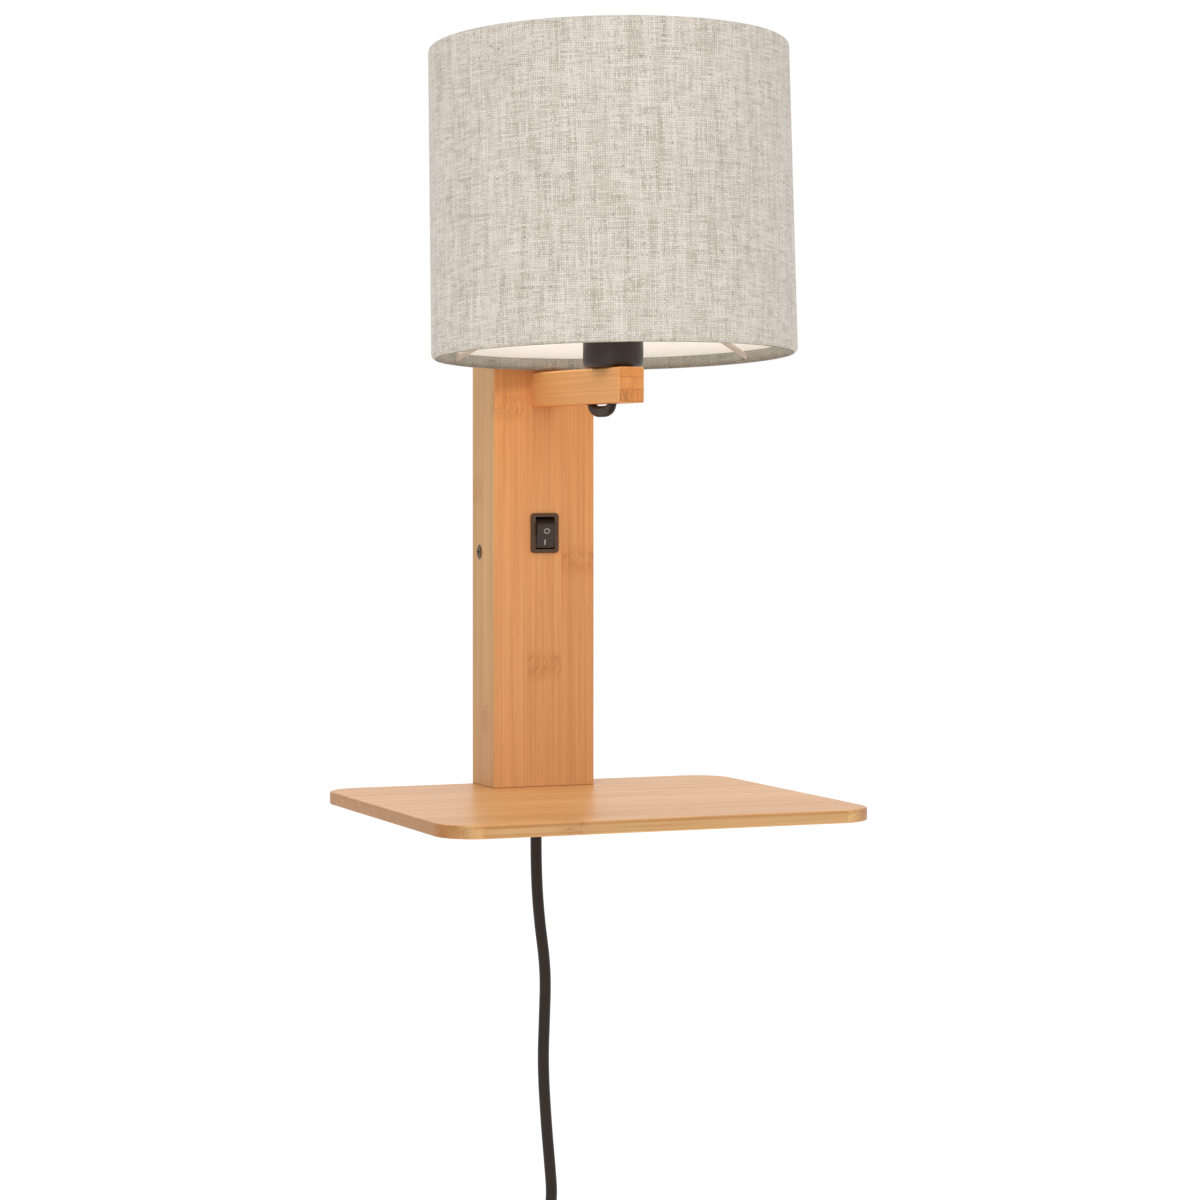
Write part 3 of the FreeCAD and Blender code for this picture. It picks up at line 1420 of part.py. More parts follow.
def check_and_export():
    """Stops on any failed object or bad shape, then writes one file for each sub-part."""
    doc.recompute()
    for part in doc.Objects:
        if "Invalid" in part.State or "Error" in part.State:
            raise RuntimeError(f"{part.Label} failed: {part.State}")
    for part in NODES:
        shape = part.Shape
        if shape.isNull() or not shape.isValid() or not shape.Solids:
            raise RuntimeError(f"{part.Label} has no sound solid")
    os.makedirs("parts", exist_ok=True)
    for part in NODES:
        part.Shape.exportStep(f"parts/{part.Label}.step")
    print(f"{len(NODES)} sub-parts written")


build()
check_and_export()
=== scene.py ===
"""Wall lamp with shelf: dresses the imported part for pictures, laid out as an add-on and run as a script.

Everything is in metres in the part's own frame: X to the right, Y into the wall, Z up, with the origin
midway between the two screws of the wall bracket.
"""

import math

import bmesh
import bpy
from mathutils import Matrix, Vector


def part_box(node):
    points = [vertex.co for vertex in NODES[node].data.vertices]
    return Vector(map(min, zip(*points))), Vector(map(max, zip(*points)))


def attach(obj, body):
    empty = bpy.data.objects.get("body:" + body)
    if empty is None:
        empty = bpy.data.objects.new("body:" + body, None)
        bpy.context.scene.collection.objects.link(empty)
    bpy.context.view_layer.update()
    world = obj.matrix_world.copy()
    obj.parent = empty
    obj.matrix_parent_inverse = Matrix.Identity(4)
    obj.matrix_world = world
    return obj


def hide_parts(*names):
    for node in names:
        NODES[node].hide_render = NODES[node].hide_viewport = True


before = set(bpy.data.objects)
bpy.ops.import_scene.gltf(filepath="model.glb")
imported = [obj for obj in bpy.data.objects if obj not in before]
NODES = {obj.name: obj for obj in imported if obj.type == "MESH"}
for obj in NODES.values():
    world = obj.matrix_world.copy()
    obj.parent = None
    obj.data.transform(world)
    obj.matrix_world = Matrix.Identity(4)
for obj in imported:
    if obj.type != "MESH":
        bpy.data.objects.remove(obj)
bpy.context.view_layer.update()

bl_info = {
    "name": "Wall lamp with shelf",
    "version": (1, 0, 0),
    "blender": (4, 5, 0),
    "location": "View3D > Sidebar > Wall lamp",
    "description": "Finishes the boards, shade, holder, switch and cord of a wall lamp with a shelf",
    "category": "Object",
}

MM = 0.001

# Where the shade stands: the middle of its fitter ring, and how far the shade leans to the front.
SHADE_AT = Vector((0, -126.5, 134.385)) * MM
SHADE_LEAN = math.radians(-2.9)
# From there, the feet and tops of the linen and of the lining, and their outer radii at foot and top.
SHADE_LOW, SHADE_HIGH = -35.5 * MM, 118.8 * MM
LINER_LOW, LINER_HIGH = -34.75 * MM, 116.75 * MM
SKIN_RADII = (90.5 * MM, 89.5 * MM)
LINER_RADII = (89.75 * MM, 88.75 * MM)

# The rocker turns about a line through this place, and stands tipped on it as the photograph shows. Its
# face lies that far in front of the line, in millimetres.
ROCKER_AT = Vector((0, -27.3, 10.1)) * MM
ROCKER_TIP = math.radians(13)
ROCKER_FACE = 7.5

# The mains cord's line, in millimetres: out of the gland, down in the slow bends of the photograph,
# round its put-away coil and on to the plug.
CORD_HANGS = [
    (0, -20, -148),
    (0, -20, -166),
    (1.3, -20.7, -191),
    (4.9, -21.6, -219),
    (4.3, -21.2, -244),
    (3.5, -20.8, -269),
    (5.4, -20.9, -300),
    (7.3, -21.3, -322),
    (8.5, -21.6, -338.7),
    (6, -21.8, -350),
    (-0.2, -22, -359.5),
]
CORD_TO_PLUG = [
    (-11.5, -16, -442.4),
    (-1.2, -16.6, -449.7),
    (5.2, -18.9, -457.1),
    (9.6, -21.4, -467.8),
    (10.6, -23, -476.6),
]
# The lamp flex's line, in millimetres: its places in Y and Z, in the lamp's middle plane.
FLEX_RUN = [
    (-5, 62.1),
    (-5, 76),
    (-7, 82.1),
    (-16, 82.1),
    (-50, 82.1),
    (-88, 82.1),
    (-97, 81.5),
    (-98.5, 74.5),
    (-105, 72.2),
    (-112, 72.2),
    (-119, 72.2),
    (-125.5, 74.5),
    (-126.5, 84),
    (-126.5, 104.5),
]
# The coil's middle, and its first point, which is drawn out to where the hanging run comes in smoothly.
COIL_MIDDLE = Vector((8.6, -22, -404.3)) * MM
COIL_ENTRY = Vector((-8, -22, -366.1)) * MM
# The coil's turning from its first point to its last, in degrees, and its points in each turn.
COIL_ANGLES = (114, 2385)
COIL_POINTS = 14
# Where each turn lies in the bundle, in millimetres: outwards from the coil's mean ring, and to the back.
COIL_PLACES = [(6.2, 0), (3.1, -5.37), (-3.1, -5.37), (0, 0), (-6.2, 0), (-3.1, 5.37), (3.1, 5.37)]
# Where each turn starts to cross to the next one's place, and how far it goes round in crossing.
COIL_CHANGES = [410, 734, 1058, 1382, 1706, 2030]
COIL_CROSSING = 64
# The top of the plug's sleeve, with the middles of its body and of its pins' sleeves so far below it.
PLUG_TOP = Vector((10.6, -23, -476.6)) * MM
PLUG_DROP, SLEEVE_DROP = 33 * MM, 54.7 * MM
PINS_APART = 19 * MM

# The stage, in metres: the floor, the window-like lights with their widths and their shares of the key
# light's power, and the middle of the bulb.
FLOOR_HEIGHT = -0.56
LIGHTS = [("key_light", (-1.5, -2.0, 0.6), 1.2, 1.0), ("fill_light", (1.8, -1.7, 1.0), 1.5, 0.45)]
LIGHTS_AIM = Vector((0, -0.05, 0))
GLOW_AT = (0, -0.1265, 0.172)
# The photograph's camera, and how far its frame is shifted down, out of its width, both in pixels.
CAMERA_AT = (-0.6293214, -1.6598207, 0.0451896)
CAMERA_TURN = math.radians(-22.09)
FRAME_DOWN, FRAME_WIDE = 134.39, 1200


def linear(code):
    """An sRGB hex colour as the linear colour that Blender's sockets take."""
    parts = [int(code[n : n + 2], 16) / 255 for n in (0, 2, 4)]
    return [c / 12.92 if c <= 0.04045 else ((c + 0.055) / 1.055) ** 2.4 for c in parts]


def colour(name, about, code):
    """A colour that the user may change."""
    return bpy.props.FloatVectorProperty(
        name=name, description=about, subtype="COLOR", size=3, min=0, max=1, default=linear(code)
    )


def length(name, about, millimetres):
    """A length that the user may change."""
    return bpy.props.FloatProperty(
        name=name, description=about, unit="LENGTH", min=0, default=millimetres * MM
    )


class WALLLAMP_PG_wood(bpy.types.PropertyGroup):
    """Bamboo colours and the sizes of its strips."""

    front: colour("Front board", "The board that faces the room", "e8a56a")
    front_deep: colour("Front board, deep", "Darker fibres of the front board", "c4864f")
    side: colour("Side boards", "The two sides of the post", "d6a46d")
    side_deep: colour("Side boards, deep", "Darker fibres of the side boards", "b58752")
    shelf: colour("Shelf", "The shelf's top and underside", "fcc585")
    shelf_deep: colour("Shelf, deep", "Darker fibres of the shelf", "d39353")
    shelf_edge: colour("Shelf's edge", "The shelf's long edges", "f0c48c")
    shelf_edge_deep: colour("Shelf's edge, deep", "Darker fibres of the shelf's edges", "c98f54")
    arm: colour("Arm", "The arm's end, top and underside", "f4ad68")
    arm_deep: colour("Arm, deep", "Darker fibres of the arm", "dc9050")
    # Painted light: the arm's sides are a lighter copy of the arm's colour, for the light that falls on them.
    lit_arm_side: colour("Arm's sides", "The arm's two sides", "fdbd74")
    lit_arm_side_deep: colour("Arm's sides, deep", "Darker fibres of the arm's sides", "e89e5c")
    knuckle: colour("Knuckle", "The marks where the stalk had its nodes", "b17040")
    joint: colour("Glue line", "The thin line between two strips", "7f522e")
    strip: length("Strip", "Width of one bamboo strip", 19)
    layer: length("Layer", "Thickness of one bamboo layer", 5.9)


class WALLLAMP_PG_cloth(bpy.types.PropertyGroup):
    """The shade's cloth."""

    thread: colour("Linen", "The linen's raised threads", "ebe5db")
    gap: colour("Linen, gaps", "The linen between its threads", "958776")
    # Painted shade: the turned-in hem is much darker than the linen.
    shaded_hem_thread: colour("Hem", "Raised threads of the turned-in hem", "9f9d91")
    shaded_hem_gap: colour("Hem, gaps", "The hem between its threads", "605e54")
    lining: colour("Lining", "The smooth lining", "e5e1db")
    pitch: length("Thread spacing", "From one linen thread to the next", 1.15)
    skin: length("Linen thickness", "Thickness of the linen skin", 0.7)
    liner: length("Lining thickness", "Thickness of the lining", 0.6)
    hem: length("Hem", "Height of the linen turned in over each ring", 6)


class WALLLAMP_PG_fittings(bpy.types.PropertyGroup):
    """The holder, switch, screws and cord."""

    holder: colour("Holder", "The moulded lamp holder", "2c211a")
    bezel: colour("Bezel", "The switch's frame", "4d3521")
    rocker: colour("Rocker", "The switch's rocker", "362a21")
    mark: colour("Marks", "The two marks on the rocker", "aaa39a")
    screw: colour("Side screws", "The bronzed screws in the sides", "61482f")
    sheath: colour("Cord", "The cord's outer sheath", "281e16")
    cord_wide: length("Cord diameter", "Diameter of the mains cord", 6)
    coil_ring: length("Coil radius", "Radius of the put-away coil's mean ring", 37)


class WALLLAMP_PG_stage(bpy.types.PropertyGroup):
    """The camera and the light."""

    daylight: bpy.props.FloatProperty(
        name="Daylight", description="Strength of the even light all round", min=0, default=0.78
    )
    key: bpy.props.FloatProperty(
        name="Key light", description="Power of the window-like lamp", unit="POWER", min=0, default=12
    )
    glow: bpy.props.FloatProperty(
        name="Bulb", description="Power of the bulb's own light", unit="POWER", min=0, default=0.29
    )
    lens: bpy.props.FloatProperty(
        name="Lens", description="Focal length", unit="CAMERA", min=1, default=100.5
    )
    floor: colour("Floor", "The pale floor below the lamp", "f4f4f4")


def in_use(sockets, name=None):
    """The first of a node's sockets that its settings leave in use, or the first of that name."""
    return next(socket for socket in sockets if socket.enabled and name in (None, socket.name))


def put(tree, kind, feeds=(), **settings):
    """Adds one node with its settings, and feeds its inputs, by their names or in their order.

    What feeds an input is a value, an output, or another node, which gives its first output in use.
    """
    new = tree.nodes.new("ShaderNode" + kind)
    for name, value in settings.items():
        setattr(new, name, value)
    for name, value in feeds.items() if isinstance(feeds, dict) else enumerate(feeds):
        fed = in_use(new.inputs, name) if isinstance(name, str) else new.inputs[name]
        if isinstance(value, bpy.types.Node):
            value = in_use(value.outputs)
        if isinstance(value, bpy.types.NodeSocket):
            tree.links.new(value, fed)
        else:
            fed.default_value = value
    return new


def blank_finish(name):
    """A new material with an empty tree: the material and its tree."""
    made = bpy.data.materials.new(name)
    made.use_nodes = True
    made.node_tree.nodes.clear()
    return made, made.node_tree


def finished(made, feeds):
    """Ends a material with its shader, fed with these, and its output."""
    tree = made.node_tree
    put(tree, "OutputMaterial", [put(tree, "BsdfPrincipled", feeds)])
    return made


def opaque(rgb, times=1.0):
    """A colour as a socket's four numbers, made darker or lighter if asked."""
    return (*(min(1, c * times) for c in rgb), 1)


def clouded(tree, where, scale, detail, dark, light):
    """A tint that drifts between two colours: the noise that it follows, and the tint."""
    cloud = put(tree, "TexNoise", {"Vector": where, "Scale": scale, "Detail": detail})
    return cloud, put(tree, "Mix", {"Factor": cloud, "A": dark, "B": light}, data_type="RGBA")


def laminated_bamboo(
    name, across, through, grain, plain, deep, knuckles, start=0.0, contrast=1.0, cheek=None, rough=0.36,
    end_grain_and_shade=0.0, painted_light_drift=None, foot=None, bundles=None,
):
    """Planed bamboo strips glued into boards and satin lacquered.

    It shows long fine fibres, short dark pores along the grain, a tone of its own in each strip, a thin
    glue line between strips, and knuckles where the stalk had its nodes. Across its end the pores are
    dots and the wood is darker. across, through and grain are the axes along the row of strips, through
    the layers and along the fibres. knuckles lists strips, each with a place along its grain, and start
    is where a strip begins. cheek gives the two colours of the faces that look along the row.
    end_grain_and_shade darkens the end grain and the corners beside it further, partly as painted shade.
    painted_light_drift is painted light: a tint at each of two places along the grain. foot is where a
    painted shadow line runs along the board's bottom, and bundles is a layer whose end shows cut fibre
    bundles.
    """
    wood = bpy.context.scene.wall_lamp_wood
    made, tree = blank_finish(name)
    where = put(tree, "TexCoord").outputs
    axes = put(tree, "SeparateXYZ", [where["Object"]]).outputs
    facing = put(tree, "SeparateXYZ", [where["Normal"]]).outputs
    u, v, w = (axes[letter] for letter in (across, through, grain))

    strip_at = put(tree, "Math", [u, start], operation="SUBTRACT")
    strip_at = put(tree, "Math", [strip_at, wood.strip], operation="DIVIDE")
    strip_no = put(tree, "Math", [strip_at], operation="FLOOR")
    layer_at = put(tree, "Math", [v, wood.layer], operation="DIVIDE")
    layer_no = put(tree, "Math", [layer_at], operation="FLOOR")
    cell = put(tree, "CombineXYZ", [strip_no, layer_no, 3.0])
    tone = put(tree, "TexWhiteNoise", [cell], noise_dimensions="3D")
    slide = put(tree, "Math", [tone, 31.0], operation="MULTIPLY")

    def threads(wide, long):
        """Where a noise is read, so that it lies in threads of that size, of their own in each strip."""
        u_at = put(tree, "Math", [u, 1 / wide, slide], operation="MULTIPLY_ADD")
        v_at = put(tree, "Math", [v, 1 / wide], operation="MULTIPLY")
        w_at = put(tree, "Math", [w, 1 / long, slide], operation="MULTIPLY_ADD")
        return put(tree, "CombineXYZ", [u_at, v_at, w_at])

    def edges(at, pitch):
        """The glue lines on the edges of the strips or of the layers, each drawn 0.25 mm wide."""
        off = put(tree, "Math", [at], operation="FRACT")
        off = put(tree, "Math", [off, 0.5], operation="SUBTRACT")
        off = put(tree, "Math", [off], operation="ABSOLUTE")
        return put(tree, "Math", [off, 0.5 - 0.13 * MM / pitch], operation="GREATER_THAN")

    # Fibres are some 0.7 mm across and run nearly the length of the board.
    fibre = put(tree, "TexNoise", {
        "Vector": threads(0.0008, 0.16), "Scale": 1.0, "Detail": 3.0, "Roughness": 0.62, "Distortion": 0.1,
    })
    # Slow bands of tone, four to eight millimetres across.
    band = put(tree, "TexNoise", {"Vector": threads(0.0045, 0.13), "Scale": 1.0, "Detail": 2.0})
    # Pores: faint dark dashes, 0.4 mm across and 4 to 8 mm long.
    pore = put(tree, "TexVoronoi", {"Vector": threads(0.0013, 0.019), "Scale": 1.0})
    pore = put(
        tree, "MapRange", {"Value": pore, "From Min": 0.16, "From Max": 0.3, "To Min": 1.0, "To Max": 0.0},
        interpolation_type="SMOOTHSTEP",
    )
    along_grain = put(tree, "Math", [facing[grain]], operation="ABSOLUTE")
    end_on = put(
        tree, "MapRange", {"Value": along_grain, "From Min": 0.55, "From Max": 0.98},
        interpolation_type="SMOOTHSTEP",
    )

    # A knuckle is two rows of small arches, 3 mm wide, and short dark dabs round them that thin out.
    mark = 0.0
    dab = put(tree, "TexNoise", {"Vector": threads(0.0015, 0.0048), "Scale": 1.0, "Detail": 2.0})
    dab = put(
        tree, "MapRange", {"Value": dab, "From Min": 0.36, "From Max": 0.7}, interpolation_type="SMOOTHSTEP"
    )
    arch = put(tree, "Math", [band, 5.0, slide], operation="MULTIPLY_ADD")
    arch = put(tree, "Math", [u, math.pi / 0.0034, arch], operation="MULTIPLY_ADD")
    arch = put(tree, "Math", [arch], operation="SINE")
    arch = put(tree, "Math", [arch], operation="ABSOLUTE")
    for strip, place in knuckles:
        mine = put(tree, "Math", [strip_no, float(strip), 0.3], operation="COMPARE")
        above = put(tree, "Math", [w, place], operation="SUBTRACT")
        bent = put(tree, "Math", [arch, -0.0022, above], operation="MULTIPLY_ADD")
        away = put(tree, "Math", [above, 0.004], operation="ADD")
        away = put(tree, "Math", [away], operation="ABSOLUTE")
        reach = put(
            tree, "MapRange",
            {"Value": away, "From Min": 0.003, "From Max": 0.011, "To Min": 1.0, "To Max": 0.0},
            interpolation_type="SMOOTHSTEP",
        )
        upper = put(tree, "Math", [bent, -0.0018, 0.0005], operation="COMPARE")
        lower = put(tree, "Math", [bent, -0.0072, 0.0004], operation="COMPARE")
        rows = put(tree, "Math", [upper, lower], operation="MAXIMUM")
        faint = put(tree, "Math", [dab, 0.27, 0.06], operation="MULTIPLY_ADD")
        rows = put(tree, "Math", [rows, faint], operation="MULTIPLY")
        whole = put(tree, "Math", [dab, 0.26, 0.1], operation="MULTIPLY_ADD")
        whole = put(tree, "Math", [reach, whole], operation="MULTIPLY")
        whole = put(tree, "Math", [whole, rows], operation="ADD")
        whole = put(tree, "Math", [whole, mine], operation="MULTIPLY")
        mark = put(tree, "Math", [mark, whole], operation="MAXIMUM")

    # How deep the colour is: by strip, by band, by fibre, and deeper in the end grain.
    shade = put(tree, "Math", [band, 0.2], operation="SUBTRACT")
    shade = put(tree, "Math", [shade, 0.85 * contrast], operation="MULTIPLY")
    shade = put(tree, "Math", [tone, 0.3 * contrast, shade], operation="MULTIPLY_ADD")
    fine = put(tree, "Math", [fibre, 0.5], operation="SUBTRACT")
    shade = put(tree, "Math", [fine, 1.5 * contrast, shade], operation="MULTIPLY_ADD")
    shade = put(tree, "Math", [end_on, 0.45, shade], operation="MULTIPLY_ADD")
    grained = put(tree, "Mix", {"Factor": shade, "A": opaque(plain), "B": opaque(deep)}, data_type="RGBA")
    # Painted light: a tint multiplied in, which changes from one place along the grain to another.
    if painted_light_drift:
        (low, low_tint), (high, high_tint) = painted_light_drift
        along = put(tree, "MapRange", {"Value": w, "From Min": low, "From Max": high})
        painted_light_tint = put(tree, "Mix", {"Factor": along, "A": low_tint, "B": high_tint}, data_type="RGBA")
        grained = put(
            tree, "Mix", {"Factor": 1.0, "A": grained, "B": painted_light_tint}, data_type="RGBA", blend_type="MULTIPLY"
        )
    if cheek:
        sideways = put(tree, "Math", [facing[across]], operation="ABSOLUTE")
        turned = put(tree, "Math", [sideways, 0.8], operation="GREATER_THAN")
        cheeks = {"Factor": shade, "A": opaque(cheek[0]), "B": opaque(cheek[1])}
        cheeks = put(tree, "Mix", cheeks, data_type="RGBA")
        grained = put(tree, "Mix", {"Factor": turned, "A": grained, "B": cheeks}, data_type="RGBA")

    # What darkens the wood: pores, the ends, partly from lacquer and partly painted shade, a painted shadow
    # line at the foot, and glue lines.
    pore_depth = put(tree, "Math", [end_on, 0.25, 0.07], operation="MULTIPLY_ADD")
    dark = put(tree, "Math", [pore, pore_depth], operation="MULTIPLY")
    if end_grain_and_shade:
        # The ends, and the rounded corners beside them, are darker: partly the long pores drinking the
        # lacquer, partly painted shade.
        end_grain_and_shade_mask = put(
            tree, "MapRange", {"Value": along_grain, "From Min": 0.1, "From Max": 0.75},
            interpolation_type="SMOOTHSTEP",
        )
        end_grain_and_shade_mask = put(tree, "Math", [end_grain_and_shade_mask, end_grain_and_shade], operation="MULTIPLY")
        dark = put(tree, "Math", [dark, end_grain_and_shade_mask], operation="MAXIMUM")
    # Painted shadow: a dark line along the board's bottom, where it stands on the shelf.
    if foot is not None:
        foot_shadow = put(tree, "Math", [w, foot], operation="LESS_THAN")
        foot_shadow = put(tree, "Math", [foot_shadow, 0.7], operation="MULTIPLY")
        dark = put(tree, "Math", [dark, foot_shadow], operation="MAXIMUM")
    lines = [edges(strip_at, wood.strip), edges(layer_at, wood.layer)]
    lines = put(tree, "Math", lines, operation="MAXIMUM")
    line_depth = put(tree, "Math", [end_on, 0.3, 0.2], operation="MULTIPLY_ADD")
    lines = put(tree, "Math", [lines, line_depth], operation="MULTIPLY")
    dark = put(tree, "Math", [dark, lines], operation="MAXIMUM")

    if bundles is not None:
        # Bundles are dark strokes 0.6 mm wide and several high, and thin out to the right.
        bundle = put(tree, "Math", [u, 1150.0], operation="MULTIPLY")
        bundle = put(tree, "Math", [v, 260.0, bundle], operation="MULTIPLY_ADD")
        bundle = put(tree, "CombineXYZ", [bundle, put(tree, "Math", [v, 110.0], operation="MULTIPLY"), 5.0])
        bundle = put(tree, "TexNoise", {"Vector": bundle, "Scale": 1.0, "Detail": 1.0})
        bundle = put(
            tree, "MapRange", {"Value": bundle, "From Min": 0.44, "From Max": 0.56},
            interpolation_type="SMOOTHSTEP",
        )
        thinning = {"Value": u, "From Min": -0.006, "From Max": 0.009, "To Min": 0.85, "To Max": 0.0}
        thinning = put(tree, "MapRange", thinning)
        bundle = put(tree, "Math", [bundle, thinning], operation="MULTIPLY")
        mine = put(tree, "Math", [layer_no, float(bundles), 0.3], operation="COMPARE")
        mine = put(tree, "Math", [mine, end_on], operation="MULTIPLY")
        bundle = put(tree, "Math", [bundle, mine], operation="MULTIPLY")
        mark = put(tree, "Math", [mark, bundle], operation="MAXIMUM")
    if knuckles or bundles is not None:
        grained = put(
            tree, "Mix", {"Factor": mark, "A": grained, "B": opaque(wood.knuckle)}, data_type="RGBA"
        )
    tinted = put(tree, "Mix", {"Factor": dark, "A": grained, "B": opaque(wood.joint)}, data_type="RGBA")
    gloss = put(tree, "Math", [fibre, 0.2, rough], operation="MULTIPLY_ADD")
    height = put(tree, "Math", [fibre, 0.6], operation="MULTIPLY")
    hollow = put(tree, "Math", [dark, 0.7], operation="MULTIPLY")
    height = put(tree, "Math", [height, hollow], operation="SUBTRACT")
    relief = put(tree, "Bump", {"Strength": 0.35, "Distance": 0.00012, "Height": height})
    return finished(made, {
        "Base Color": tinted, "Roughness": gloss, "Normal": relief, "Specular IOR Level": 0.22,
    })


def moulded(name, rgb, rough, grit):
    """A moulded plastic: one colour right through, a fine grain from its tool and slightly uneven gloss.

    grit is the size of the grain in metres.
    """
    made, tree = blank_finish(name)
    where = put(tree, "TexCoord").outputs["Object"]
    grain = put(tree, "TexNoise", {"Vector": where, "Scale": 1 / grit, "Detail": 2.0, "Roughness": 0.55})
    # The pigment is a little uneven over a centimetre or so.
    tint = clouded(tree, where, 90.0, 2.0, opaque(rgb, 0.86), opaque(rgb, 1.12))[1]
    gloss = put(tree, "MapRange", {"Value": grain, "To Min": rough - 0.06, "To Max": rough + 0.08})
    relief = put(tree, "Bump", {"Strength": 0.5, "Distance": 0.00003, "Height": grain})
    return finished(made, {
        "Base Color": tint, "Roughness": gloss, "Normal": relief, "Specular IOR Level": 0.35,
    })


def worked_metal(name, rgb, rough, stretch, grit=0.0004):
    """A bare or plated metal: fine marks of the tool, long in one direction, over an even sheen.

    stretch is how many times longer the marks are along X, Y and Z, and grit is their width in metres.
    """
    made, tree = blank_finish(name)
    where = put(tree, "TexCoord").outputs["Object"]
    drawn = put(tree, "Mapping", {"Vector": where, "Scale": [1 / (grit * times) for times in stretch]})
    marks, tint = clouded(tree, drawn, 1.0, 3.0, opaque(rgb, 0.88), opaque(rgb, 1.08))
    gloss = put(tree, "MapRange", {"Value": marks, "To Min": rough - 0.07, "To Max": rough + 0.1})
    relief = put(tree, "Bump", {"Strength": 0.4, "Distance": 0.00002, "Height": marks})
    return finished(made, {"Base Color": tint, "Roughness": gloss, "Normal": relief, "Metallic": 1.0})


def coated_steel(name, rgb, rough=0.42):
    """Steel with a baked powder coat: an even colour with a soft orange-peel surface, 0.7 mm across."""
    made, tree = blank_finish(name)
    where = put(tree, "TexCoord").outputs["Object"]
    peel = put(tree, "TexNoise", {"Vector": where, "Scale": 1400.0, "Detail": 1.0})
    tint = clouded(tree, where, 60.0, 3.0, opaque(rgb, 0.9), opaque(rgb, 1.06))[1]
    relief = put(tree, "Bump", {"Strength": 0.35, "Distance": 0.00004, "Height": peel})
    return finished(made, {"Base Color": tint, "Roughness": rough, "Normal": relief, "Coat Weight": 0.2})


def glazed_porcelain():
    """Slip-cast porcelain under a clear glaze: off-white, faintly clouded, with a wet shine."""
    made, tree = blank_finish("glazed_porcelain")
    where = put(tree, "TexCoord").outputs["Object"]
    tint = clouded(tree, where, 160.0, 4.0, opaque(linear("e2dfd6")), opaque(linear("f3f1ea")))[1]
    return finished(made, {
        "Base Color": tint, "Roughness": 0.22, "Coat Weight": 0.8, "Coat Roughness": 0.06,
    })


def frosted_glass():
    """A blown glass bulb, etched inside: milky, with an even soft shine and a faint grain."""
    made, tree = blank_finish("frosted_glass")
    where = put(tree, "TexCoord").outputs["Object"]
    etch, tint = clouded(tree, where, 2600.0, 2.0, opaque(linear("efece4")), opaque(linear("fbf9f3")))
    relief = put(tree, "Bump", {"Strength": 0.15, "Distance": 0.00002, "Height": etch})
    return finished(made, {
        "Base Color": tint, "Roughness": 0.3, "IOR": 1.5, "Normal": relief,
        "Subsurface Weight": 0.25, "Subsurface Scale": 0.004,
    })


